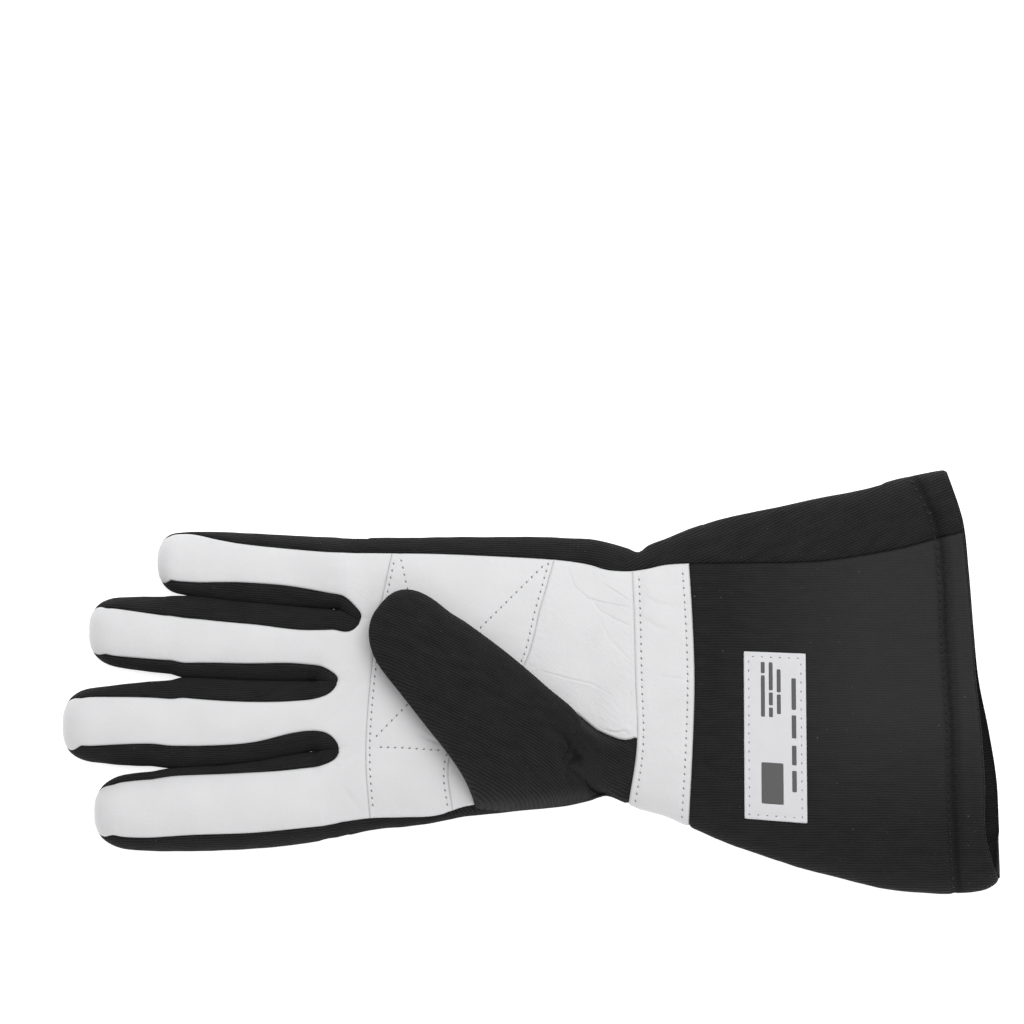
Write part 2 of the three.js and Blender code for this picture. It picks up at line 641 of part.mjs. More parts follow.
// A rectangle with round corners, drawn in from the badge's edge
function badgeOutline(inset) {
  const { x0, x1, y0, y1, corner } = BADGE;
  const r = corner;
  const [left, right, low, high] = [x0 + inset, x1 - inset, y0 + inset, y1 - inset];
  const shape = new THREE.Shape();
  shape.absarc(right - r, low + r, r, -Math.PI / 2, 0);
  shape.absarc(right - r, high - r, r, 0, Math.PI / 2);
  shape.absarc(left + r, high - r, r, Math.PI / 2, Math.PI);
  shape.absarc(left + r, low + r, r, Math.PI, 1.5 * Math.PI);
  return shape;
}

function badgePlate(shape) {
  const { thickness, cornerFaces } = BADGE;
  return new THREE.ExtrudeGeometry(shape,
    { depth: thickness, bevelEnabled: false, curveSegments: cornerFaces });
}

const MATERIALS = {
  knit: { color: 0x1d1d1f, roughness: 0.92, metalness: 0 },
  leather: { color: 0xdfe0e2, roughness: 0.6, metalness: 0 },
  label: { color: 0xe9e9ea, roughness: 0.75, metalness: 0 },
  thread_black: { color: 0x141414, roughness: 0.7, metalness: 0 },
  thread_red: { color: 0xb3232a, roughness: 0.6, metalness: 0 },
};

const glove = new THREE.Group();

function geometryOf(manifold) {
  const { vertProperties, triVerts } = manifold.getMesh();
  const geometry = new THREE.BufferGeometry();
  geometry.setAttribute("position", new THREE.BufferAttribute(vertProperties, 3));
  geometry.setIndex(new THREE.BufferAttribute(triVerts, 1));
  geometry.computeVertexNormals();
  return geometry;
}

function add(name, geometry, material) {
  const mesh = new THREE.Mesh(geometry, new THREE.MeshStandardMaterial(MATERIALS[material]));
  mesh.name = name;
  glove.add(mesh);
}

// The largest body of a cut piece, without the scraps that the cut leaves
const largest = (manifold) => manifold.decompose().reduce((a, b) => (a.volume() > b.volume() ? a : b));

const thumbHollow = thumbSolid(KNIT);
const isLeather = (name) => name.startsWith("palm_") || name === "wrist_band";
for (const [name, pieceCells] of pieces) {
  const piece = wall(pieceCells, isLeather(name) ? LEATHER : KNIT).subtract(thumbHollow);
  add(name, geometryOf(largest(piece)), isLeather(name) ? "leather" : "knit");
}
const thumb = thumbSolid(0).subtract(thumbHollow).subtract(bodySolid(GAP));
add("thumb", geometryOf(largest(thumb)), "knit");
add("label", geometryOf(labelSolid()), "label");

const badgeRing = badgeOutline(0);
badgeRing.holes.push(badgeOutline(BADGE.border));
add("badge_border", badgePlate(badgeRing), "thread_black");
add("badge_field", badgePlate(badgeOutline(BADGE.border + GAP)), "thread_red");

export default glove;
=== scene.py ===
"""The looks of a left-hand racing glove that lies on its back, palm up, with the thumb over the palm.

Every form is worked out in millimetres as whole numpy arrays and becomes a mesh in metres.
+X runs from the fingers to the cuff, +Y to the little-finger side, +Z up out of the palm.
"""

from __future__ import annotations

import logging
from dataclasses import dataclass, field, replace
from enum import Enum

import bpy
import numpy as np
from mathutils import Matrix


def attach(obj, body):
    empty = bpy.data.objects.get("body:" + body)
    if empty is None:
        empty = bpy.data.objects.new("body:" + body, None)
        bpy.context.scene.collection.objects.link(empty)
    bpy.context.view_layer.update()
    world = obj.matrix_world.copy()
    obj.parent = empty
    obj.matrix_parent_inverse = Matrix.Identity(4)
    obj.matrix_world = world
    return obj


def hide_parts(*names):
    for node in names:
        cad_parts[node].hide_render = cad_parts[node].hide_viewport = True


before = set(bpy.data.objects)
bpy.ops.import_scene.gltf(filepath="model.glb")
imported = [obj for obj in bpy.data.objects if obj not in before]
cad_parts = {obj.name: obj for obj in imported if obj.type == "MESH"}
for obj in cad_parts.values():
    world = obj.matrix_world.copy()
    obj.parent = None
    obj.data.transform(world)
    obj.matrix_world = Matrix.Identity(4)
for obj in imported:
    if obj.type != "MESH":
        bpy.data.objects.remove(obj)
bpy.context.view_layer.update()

Array = np.ndarray
Socket = bpy.types.NodeSocket
Line = list[tuple[float, float]]
Colour = tuple[float, float, float]
MM = 0.001
LOG = logging.getLogger("glove")

# Outline of the hand and gauntlet from the knuckles to the cuff: the two side edges, the edges of the
# palm leather, and the height of the palm side.
OUTLINE = {
    "x": [-68, -56, -45, -33, -22, 5, 13, 20, 25.6, 33, 36.8, 40, 46, 55, 70, 87, 99, 114.5, 128, 146,
          155, 159, 162],
    "pinky": [49.8, 49.8, 49.8, 50.0, 50.1, 50.1, 49.7, 49.3, 48.3, 46.2, 44.9, 47.0, 49.3, 53.2, 58.0, 61.6,
              64.2, 66.9, 70.5, 73.9, 74.6, 74.9, 75.1],
    "seam_pinky": [44.6, 44.6, 44.5, 44.3, 43.9, 42.5, 41.7, 40.5, 38.8, 38.3, 38.7, 39.2, 40.5, 41.0, 41.2,
                   41.3, 41.8, 43.9, 46.5, 51.3, 53.0, 53.8, 54.5],
    "seam_index": [-48.9, -47.2, -46.9, -46.3, -42.9, -40.0, -38.7, -37.6, -37.2, -40.1, -41.9, -43.0, -44.9,
                   -48.5, -54.2, -60.1, -63.8, -67.8, -70.4, -71.1, -70.3, -68.7, -66.0],
    "index": [-54.1, -51.3, -50.1, -48.6, -46.4, -43.7, -42.5, -40.9, -39.2, -42.2, -43.9, -44.8, -46.5,
              -50.3, -56.6, -62.4, -65.9, -69.9, -72.4, -73.1, -72.3, -70.7, -68.0],
    "crown": [15.5, 15.8, 16.0, 16.0, 16.0, 16.0, 16.0, 16.0, 16.4, 16.8, 17.0, 17.2, 17.5, 18.0, 19.5, 21.3,
              22.5, 23.9, 25.0, 26.0, 26.0, 26.0, 26.0],
}

# Lines that run across the glove, as x at even places from the little-finger side to the index side,
# and the number of coarse rows from each line to the next.
LINES = {
    "hem_edge": [143.0, 148.0, 150.2, 151.8, 153.0, 154.9, 156.1, 156.6, 161.6],
    "hem_stitch": [130.8, 138.5, 140.7, 141.4, 142.5, 143.6, 144.1, 144.9, 146.1],
    "band_right": [53.1, 54.9, 55.9, 55.2, 53.8],
    "band_left": [34.4, 35.2, 35.7, 36.2, 33.2],
    "patch_arc": [9.7, 3.1, -4.5, -27.3, -27.3],
    "patch_edge": [-47.2, -52.4, -55.9, -57.4, -55.6],
    "knuckles": [-57.3, -58.4, -67.6, -66.2, -64.0],
}
SPANS = [2, 6, 2, 5, 4, 1]
# The hem's edge on the back of the glove
BACK_HEM = [143.0, 148.5, 150.6, 152.1, 153.9, 157.4, 160.1, 161.0, 162]

# Where the fingers' lanes meet, as shares of the width at the knuckles and at the wrist
LANES_AT_KNUCKLES = [0, 0.277, 0.478, 0.7025, 1]
LANES_AT_WRIST = [0, 0.25, 0.5, 0.75, 1]
KNUCKLES_X = -64.0
WRIST_X = 20.0
# Beside the thumb the knit reaches over the palm: the border of the index lane moves by a share of
# the width
WEB = {
    "x": [-14, -5, 4, 8.5, 13, 16.2, 20, 23.8, 28.2, 32.8, 36.1, 41],
    "rise": [0, 0.02, 0.111, 0.141, 0.108, 0.083, 0.042, 0.002, -0.012, 0, 0.025, 0],
}

# Each finger from its root to its tip: its two sides and the edges of its leather
FINGERS = [
    {
        "name": "little", "tip": -129.2, "cap": 8.0, "height": 13.0,
        "x": [-60, -72, -85, -100, -108, -118, -129],
        "near": [49.75, 50.0, 50.7, 51.5, 51.9, 51.8, 51.0],
        "seam_near": [44.6, 45.2, 46.3, 47.9, 49.3, 51.3, 50.7],
        "seam_far": [28.5, 31.5, 33.7, 34.8, 34.9, 34.9, 35.2],
        "far": [24.6, 25.7, 26.6, 28.0, 29.0, 30.4, 31.6],
    },
    {
        "name": "ring", "tip": -152.9, "cap": 11.0, "height": 14.5,
        "x": [-66, -80, -97, -115, -130, -150],
        "near": [24.8, 25.5, 26.9, 28.8, 29.6, 28.6],
        "seam_near": [18.5, 17.8, 19.7, 21.3, 23.4, 26.4],
        "seam_far": [5.2, 6.7, 6.6, 6.8, 7.6, 9.3],
        "far": [1.2, 0.8, 1.0, 1.8, 3.3, 6.2],
    },
    {
        "name": "middle", "tip": -162.0, "cap": 12.0, "height": 15.0,
        "x": [-66, -80, -97, -115, -135, -158],
        "near": [0.4, 0.0, 0.2, 1.2, -0.2, -2.6],
        "seam_near": [-4.1, -6.6, -7.1, -6.1, -5.1, -4.9],
        "seam_far": [-17.3, -17.0, -20.6, -21.7, -21.4, -22.5],
        "far": [-22.6, -24.2, -27.2, -28.8, -28.9, -27.4],
    },
    {
        "name": "index", "tip": -151.1, "cap": 12.0, "height": 15.5,
        "x": [-66, -80, -97, -115, -135, -149],
        "near": [-23.4, -24.9, -28.1, -29.7, -31.3, -33.5],
        "seam_near": [-27.9, -30.3, -31.7, -32.5, -33.6, -35.2],
        "seam_far": [-49.3, -50.8, -52.4, -53.0, -53.9, -53.0],
        "far": [-53.7, -56.0, -57.6, -58.4, -58.2, -56.6],
    },
]
LAST_LANE = len(FINGERS) - 1

# The powers that make a rounded section square: of the palm, a finger, a fingertip and the root of a
# finger's leather
PALM_SQUARE = 3.6
FINGER_SQUARE = 2.3
TIP_SQUARE = 2.6
LEAF_SQUARE = 3.0
# The palm side and the back meet at this share of the height, and the back is pressed flat by this factor
WAIST = 0.42
PRESSED_FLAT = 1.3
# From the knuckles to the crotches, the length of the valleys between the fingers, and how far the
# knit and the leather wrap round the index side
CROTCH = 8.0
VALLEY = 14.0
WRAP = 15.0
# The knit above this height belongs to the palm side
ABOVE_WAIST = 9.0
# A distance from a seam at which nothing of its shade is left
FAR = 20.0
# The share of the height that lumps take for a length, so that they go on down the sides
TILT = 0.7
# How far the rim of a wall stands out
RIM_BULGE = 0.2
# The most distances that are held at once
DISTANCES_HELD = 4_000_000
# Opposite corners of the badge on the back, seen from above
BADGE_LOW = (85.0, -16.5)
BADGE_HIGH = (103.0, 48.0)


class Side(Enum):
    """The two layers of the glove."""

    PALM = 1
    BACK = -1


class Panel(Enum):
    """The sewn panels of the skin."""

    BACK = "back_panel"
    FOURCHETTE_1 = "fourchette_1"
    FOURCHETTE_2 = "fourchette_2"
    FOURCHETTE_3 = "fourchette_3"
    LEATHER = "palm_leather"
    PATCH = "palm_patch"
    HEEL = "palm_heel"
    BAND = "wrist_band"
    GAUNTLET = "gauntlet_palm"


PANELS = list(Panel)
LEATHER_PANELS = (Panel.LEATHER, Panel.PATCH, Panel.HEEL, Panel.BAND)
HEMMED_PANELS = (Panel.BACK, Panel.GAUNTLET)


def mix(a: Array | float, b: Array | float, share: Array | float) -> Array:
    """Return the value a share of the way from a to b."""
    return a + (b - a) * share


def smoothstep(value: Array | float) -> Array:
    """Return 0 below 0, 1 above 1, and a smooth rise between."""
    t = np.clip(value, 0.0, 1.0)
    return t * t * (3 - 2 * t)


def curve(places: list[float], values: list[float], at: Array | float) -> Array:
    """Smooth curve through a column of values: a cubic between places, with the neighbours' slope.

    Args:
        places: where the values are, rising or falling.
        values: the value at each place.
        at: where the curve is read; beyond the ends it keeps the end value.

    Returns:
        The curve's values, in the shape of at.
    """
    x = np.asarray(places, float)
    y = np.asarray(values, float)
    if x[-1] < x[0]:
        x, y = x[::-1], y[::-1]
    slope = np.empty_like(y)
    slope[1:-1] = (y[2:] - y[:-2]) / (x[2:] - x[:-2])
    slope[0] = (y[1] - y[0]) / (x[1] - x[0])
    slope[-1] = (y[-1] - y[-2]) / (x[-1] - x[-2])
    i = np.clip(np.searchsorted(x, at) - 1, 0, len(x) - 2)
    width = x[i + 1] - x[i]
    t = np.clip((at - x[i]) / width, 0, 1)
    t2 = t * t
    t3 = t2 * t
    start = y[i] * (2 * t3 - 3 * t2 + 1) + slope[i] * width * (t3 - 2 * t2 + t)
    end = y[i + 1] * (3 * t2 - 2 * t3) + slope[i + 1] * width * (t3 - t2)
    return start + end


def rounded(u: Array, square: float) -> Array:
    """Return a rounded section: 1 in the middle, 0 at u = 1 and -1 with an upright edge."""
    return np.sqrt(np.maximum(0, 1 - np.abs(u) ** square))


def unit(vectors: Array) -> Array:
    """Return the vectors at length 1."""
    return vectors / np.maximum(np.linalg.norm(vectors, axis=-1, keepdims=True), 1e-9)


def bell(distance: Array, width: float) -> Array:
    """Return exp(-(distance / width)^2), which is 1 at no distance and fades to 0."""
    return np.exp(-((distance / width) ** 2))


def rotated(x: Array, y: Array, degrees: float) -> Array:
    """Return places turned anticlockwise about the origin."""
    angle = np.radians(degrees)
    return np.stack([x * np.cos(angle) - y * np.sin(angle), x * np.sin(angle) + y * np.cos(angle)], -1)


def lengths_along(points: Array) -> Array:
    """Return how far along a line of straight pieces each of its points lies."""
    return np.concatenate([[0], np.cumsum(np.linalg.norm(np.diff(points, axis=0), axis=1))])


def on_line(points: Array, at: Array) -> Array:
    """Return the places at some lengths along a line of straight pieces seen from above."""
    begun = lengths_along(points)
    return np.stack([np.interp(at, begun, points[:, k]) for k in range(2)], -1)


def grid_cells(index: Array) -> Array:
    """Return the four-cornered cells of a grid of point numbers."""
    return np.stack([index[:-1, :-1], index[1:, :-1], index[1:, 1:], index[:-1, 1:]], -1)


def compact(points: Array, cells: Array) -> tuple[Array, Array, Array]:
    """Leave out the points that no cell uses.

    Args:
        points: (N, 3) places.
        cells: the cells, as point numbers.

    Returns:
        The points that are left, the cells with their new numbers, and the old numbers of the points.
    """
    kept, index = np.unique(cells, return_inverse=True)
    return points[kept], index.reshape(cells.shape), kept


def lumps(x: Array, y: Array, size: float, seed: int) -> Array:
    """Gentle unevenness from -1 to 1: the mean of sine waves in seeded directions.

    Args:
        x: places along the glove, in millimetres.
        y: places across it.
        size: the length of a typical wave.
        seed: fixes the directions and phases.

    Returns:
        The height of the lumps at each place.
    """
    chance = np.random.default_rng(seed)
    count = 14
    angle = chance.uniform(0, np.pi, count)
    phase = chance.uniform(0, 2 * np.pi, count)
    length = size * chance.uniform(0.6, 1.6, count)
    total = np.zeros_like(x)
    for a, p, w in zip(angle, phase, length):
        total += np.sin(2 * np.pi * (x * np.cos(a) + y * np.sin(a)) / w + p)
    return total / (0.6 * count)


def waves(x: Array, y: Array, kinds: tuple[tuple[float, float, int], ...]) -> Array:
    """Return several lumps on top of each other, each given by its height, size and seed."""
    return sum(high * lumps(x, y, size, seed) for high, size, seed in kinds)


def distance_to_line(x: Array, y: Array, line: Line) -> tuple[Array, Array]:
    """Distance from each place to a line of straight pieces, seen from above.

    Args:
        x: places along the glove.
        y: places across it.
        line: the points of the line.

    Returns:
        The distance, and how far along the line the nearest point lies, from 0 to 1.
    """
    points = np.asarray(line, float)
    lengths = np.linalg.norm(np.diff(points, axis=0), axis=1)
    begun = np.concatenate([[0], np.cumsum(lengths)])
    nearest = np.full(x.shape, np.inf)
    along = np.zeros(x.shape)
    for k, length in enumerate(lengths):
        step = (points[k + 1] - points[k]) / length
        reach = np.clip((x - points[k, 0]) * step[0] + (y - points[k, 1]) * step[1], 0, length)
        away = np.hypot(x - points[k, 0] - step[0] * reach, y - points[k, 1] - step[1] * reach)
        closer = away < nearest
        nearest = np.where(closer, away, nearest)
        along = np.where(closer, (begun[k] + reach) / begun[-1], along)
    return nearest, along


def nearest_distance(points: Array, targets: Array) -> tuple[Array, Array]:
    """Distance from each point to the closest of the targets.

    Args:
        points: (N, 3) places.
        targets: (M, 3) places.

    Returns:
        (N,) distances and (N,) indices of the closest target.
    """
    best = np.empty(len(points))
    index = np.empty(len(points), int)
    squares = (targets ** 2).sum(1)
    block = max(1, DISTANCES_HELD // len(targets))
    for start in range(0, len(points), block):
        part = points[start:start + block]
        d2 = (part ** 2).sum(1)[:, None] + squares[None] - 2 * part @ targets.T
        index[start:start + block] = d2.argmin(1)
        best[start:start + block] = np.sqrt(np.maximum(d2.min(1), 0))
    return best, index


@dataclass
class HandForm:
    """The smooth skin of the hand, the gauntlet and the four fingers, as formulas.

    The gathers lift the wrist's underside, the badge lifts the gauntlet's, and a groove runs beside the
    hem's stitches. Past a crotch, neighbouring fingers come apart over release, and the height of the
    palm eases into that of a finger over crown_ease. A place on the crossing lines is corrected in rounds.
    """

    gather_x: float = 24.0
    gather_reach: float = 13.0
    gather_lift: float = 3.2
    gather_ripple: float = 1.3
    gather_folds: int = 9
    gather_cut: float = 0.01
    badge_rise: float = 1.3
    badge_margin: float = 14.0
    badge_slope: float = 12.0
    hem_groove: float = 3.0
    hem_groove_beyond: float = 1.7
    hem_groove_width: float = 2.0
    back_inset: float = 0.07
    back_face: float = 0.72
    soft_valley: float = 1.6
    finger_overlap: float = 0.35
    release: float = 6.0
    crown_ease: float = 20.0
    rounds: int = 14

    def edge(self, name: str, x: Array | float) -> Array:
        """Return a column of the outline at x."""
        return curve(OUTLINE["x"], OUTLINE[name], x)

    def line(self, values: list[float], across: Array | float) -> Array:
        """Return the x of a crossing line at a place across."""
        return curve(np.linspace(0, 1, len(values)), values, across)

    def lanes(self, x: Array | float) -> list[Array]:
        """Return where the fingers' lanes divide the width at x."""
        share = smoothstep((x - KNUCKLES_X) / (WRIST_X - KNUCKLES_X))
        places = [mix(a, b, share) for a, b in zip(LANES_AT_KNUCKLES, LANES_AT_WRIST)]
        places[LAST_LANE] = places[LAST_LANE] - curve(WEB["x"], WEB["rise"], x)
        return places

    def valley(self, distance: Array) -> Array:
        """Return how much of the valley between two fingers is there."""
        t = np.clip(distance / VALLEY, 0, 1)
        return 1 - np.sqrt(1 - (1 - t) ** 2)

    def height(self, x: Array, across: Array, side: Side) -> Array:
        """Height of the hand at a place across it.

        The palm rises from the waist to the crown by a rounded section, less a valley beside the hem's
        stitches. The back falls from the waist to the table and is lifted by gathers and by the badge.
        """
        crown = self.edge("crown", x)
        waist = crown * WAIST
        fullness = rounded(2 * across - 1, PALM_SQUARE)
        if side is Side.PALM:
            stitch = self.line(LINES["hem_stitch"], across)
            groove = self.hem_groove * bell(x - stitch - self.hem_groove_beyond, self.hem_groove_width)
            return waist + (crown - waist - groove) * fullness
        y = mix(self.edge("pinky", x), self.edge("index", x), across)
        bottom = waist * (1 - np.minimum(1, PRESSED_FLAT * fullness))
        near = np.maximum(0, bell(x - self.gather_x, self.gather_reach) - self.gather_cut)
        ripple = np.cos(2 * np.pi * self.gather_folds * across)
        gathers = near * (self.gather_lift + self.gather_ripple * ripple)
        beside_x = np.maximum(np.maximum(BADGE_LOW[0] - x, 0), x - BADGE_HIGH[0])
        beside_y = np.maximum(np.maximum(BADGE_LOW[1] - y, 0), y - BADGE_HIGH[1])
        beyond = (np.hypot(beside_x, beside_y) - self.badge_margin) / self.badge_slope
        badge = self.badge_rise * smoothstep(1 - beyond)
        return bottom + gathers * fullness + badge

    def spread(self, start: Array, first: Array, last: Array, end: Array, c: Array) -> Array:
        """Return the place of column c: a side from 0 to 2, a face from 2 to 6, a side from 6 to 8."""
        near = mix(start, first, np.clip(c / 2, 0, 1) ** 2)
        face = mix(first, last, np.clip((c - 2) / 4, 0, 1))
        far = mix(end, last, np.clip((8 - c) / 2, 0, 1) ** 2)
        return np.where(c <= 2, near, np.where(c >= 6, far, face))

    def apart(self, gap: Array, x: Array, other: int) -> Array:
        """Return 0 where a finger touches its neighbour, 1 where a gap opens or the neighbour has ended."""
        cap_begins = FINGERS[other]["tip"] + FINGERS[other]["cap"]
        ended = smoothstep((cap_begins - x) / self.release)
        return np.maximum(smoothstep(gap - 1.0), ended)

    def finger_reach(self, past: Array, side: Side) -> Array:
        """Return how far the fingers' own sections reach behind the crotch, softer on the back."""
        if side is Side.PALM:
            return self.valley(past)
        return smoothstep(1 - past / (self.soft_valley * VALLEY))

    def side_seams(self, x: Array, side: Side) -> tuple[Array, Array]:
        """Return the places across of the hand's outer columns: its side seams, or near them below."""
        pinky = self.edge("pinky", x)
        width = pinky - self.edge("index", x)
        if side is Side.BACK:
            return self.back_inset + 0 * x, 1 - WRAP / width
        return (pinky - self.edge("seam_pinky", x)) / width, (pinky - self.edge("seam_index", x)) / width

    def hand(self, lane: int, row: tuple[int, Array], c: Array, side: Side) -> Array:
        """Points of the hand between the cuff and the knuckles.

        Args:
            lane: which finger's lane.
            row: the line that the row follows, and the share of the way to the next line.
            c: the columns, from 0 to 8.
            side: palm or back.

        Returns:
            Points of shape (rows, columns, 3).
        """
        names = list(LINES)
        k, share = row
        start = BACK_HEM if k == 0 and side is Side.BACK else LINES[names[k]]
        stop = LINES[names[k + 1]]
        share, c = np.broadcast_arrays(share[:, None], c[None])
        x = mix(self.line(start, 0.5), self.line(stop, 0.5), share)
        for _ in range(self.rounds):
            edges = self.lanes(x)
            begin, end = edges[lane], edges[lane + 1]
            first, last = begin, end
            if lane == 0:
                first = self.side_seams(x, side)[0]
            if lane == LAST_LANE:
                last = self.side_seams(x, side)[1]
            across = self.spread(begin, first, last, end, c)
            x = mix(self.line(start, across), self.line(stop, across), share)
        s = np.clip(2 * (across - begin) / (end - begin) - 1, -1, 1)
        crown = self.edge("crown", x)
        waist = crown * WAIST
        finger = rounded(s, FINGER_SQUARE)
        if side is Side.PALM:
            divided = waist + (crown - waist) * finger
        else:
            divided = waist * (1 - np.minimum(1, PRESSED_FLAT * finger))
        past = x - self.line(LINES["knuckles"], across) + CROTCH
        reach = self.finger_reach(past, side)
        y = mix(self.edge("pinky", x), self.edge("index", x), across)
        return np.stack([x, y, mix(self.height(x, across, side), divided, reach)], -1)

    def finger(self, lane: int, distance: Array | None, share: Array | None, c: Array, side: Side) -> Array:
        """Points of a finger from the knuckles on.

        A finger is a rounded section between its two sides, and both its width and its height end in a
        rounded cap. Up to the crotch it blends into the hand.

        Args:
            lane: which finger.
            distance: rows before the crotch, as distances from the knuckles, or None.
            share: rows beyond the crotch, as shares of the way to the tip, or None.
            c: the columns, from 0 to 8.
            side: palm or back.

        Returns:
            Points of shape (rows, columns, 3).
        """
        finger = FINGERS[lane]
        edges = self.lanes(KNUCKLES_X)
        opening = share is None
        rows, c = np.broadcast_arrays((distance if opening else share)[:, None], c[None])

        def root(s: Array | float) -> Array:
            return self.line(LINES["knuckles"], mix(edges[lane], edges[lane + 1], (s + 1) / 2))

        def at(name: str, x: Array, k: int = lane) -> Array:
            return curve(FINGERS[k]["x"], FINGERS[k][name], x)

        guess = root(0.0) - rows if opening else mix(root(0.0) - CROTCH, finger["tip"], rows)
        beyond = root(0.0) - CROTCH - guess
        centre = (at("near", guess) + at("far", guess)) / 2
        half = (at("near", guess) - at("far", guess)) / 2
        if side is Side.PALM:
            first = (centre - at("seam_near", guess)) / half
            last = (centre - at("seam_far", guess)) / half
            wide = np.sqrt(1 - np.clip(-beyond / CROTCH, 0, 1) ** LEAF_SQUARE)
            before_tip = smoothstep((guess - finger["tip"] - 1.0) / (0.5 * finger["cap"]))
            first, last = mix(-1, first, before_tip), mix(1, last, before_tip)
        else:
            first, last = -self.back_face + 0 * centre, self.back_face + 0 * centre
            wide = smoothstep(beyond / self.release)
        if opening:
            places = np.stack(self.side_seams(guess, side))
            from_hand = 2 * (places - edges[lane]) / (edges[lane + 1] - edges[lane]) - 1
            turned = smoothstep(rows / CROTCH)
            first = mix(from_hand[0], first, turned) if lane == 0 else first
            last = mix(from_hand[1], last, turned) if lane == LAST_LANE else last
        if lane > 0:
            first = mix(-1, first, wide)
        if lane < LAST_LANE:
            last = mix(1, last, wide)
        s = self.spread(-1 + 0 * centre, first, last, 1 + 0 * centre, c)
        x = root(s) - rows if opening else mix(root(s) - CROTCH, finger["tip"], rows)
        beyond = root(s) - CROTCH - x

        near, far = at("near", x), at("far", x)
        pressed = self.finger_overlap * smoothstep(beyond / self.release)
        if lane > 0:
            other = at("far", x, lane - 1)
            near = mix((near + other) / 2 + pressed, near, self.apart(other - near, x, lane - 1))
        if lane < LAST_LANE:
            other = at("near", x, lane + 1)
            far = mix((far + other) / 2 - pressed, far, self.apart(far - other, x, lane + 1))
        left = np.clip((x - finger["tip"]) / finger["cap"], 0, 1)
        end = (1 - (1 - left) ** TIP_SQUARE) ** (1 / TIP_SQUARE)
        y = (near + far) / 2 - (near - far) / 2 * end * s
        rising = smoothstep(beyond / self.crown_ease)
        crown = mix(self.edge("crown", KNUCKLES_X), finger["height"], rising)
        waist = crown * WAIST
        fullness = rounded(s, FINGER_SQUARE)
        if side is Side.PALM:
            z = waist + (crown - waist) * fullness * end
        else:
            z = waist - waist * np.minimum(1, PRESSED_FLAT * fullness) * end
        if opening:
            across = mix(edges[lane], edges[lane + 1], (s + 1) / 2)
            z = mix(self.height(x, across, side), z, self.finger_reach(-beyond, side))
            on_hand = mix(self.edge("pinky", x), self.edge("index", x), across)
            y = mix(on_hand, y, smoothstep(rows / CROTCH))
        return np.stack([x, y, z], -1)


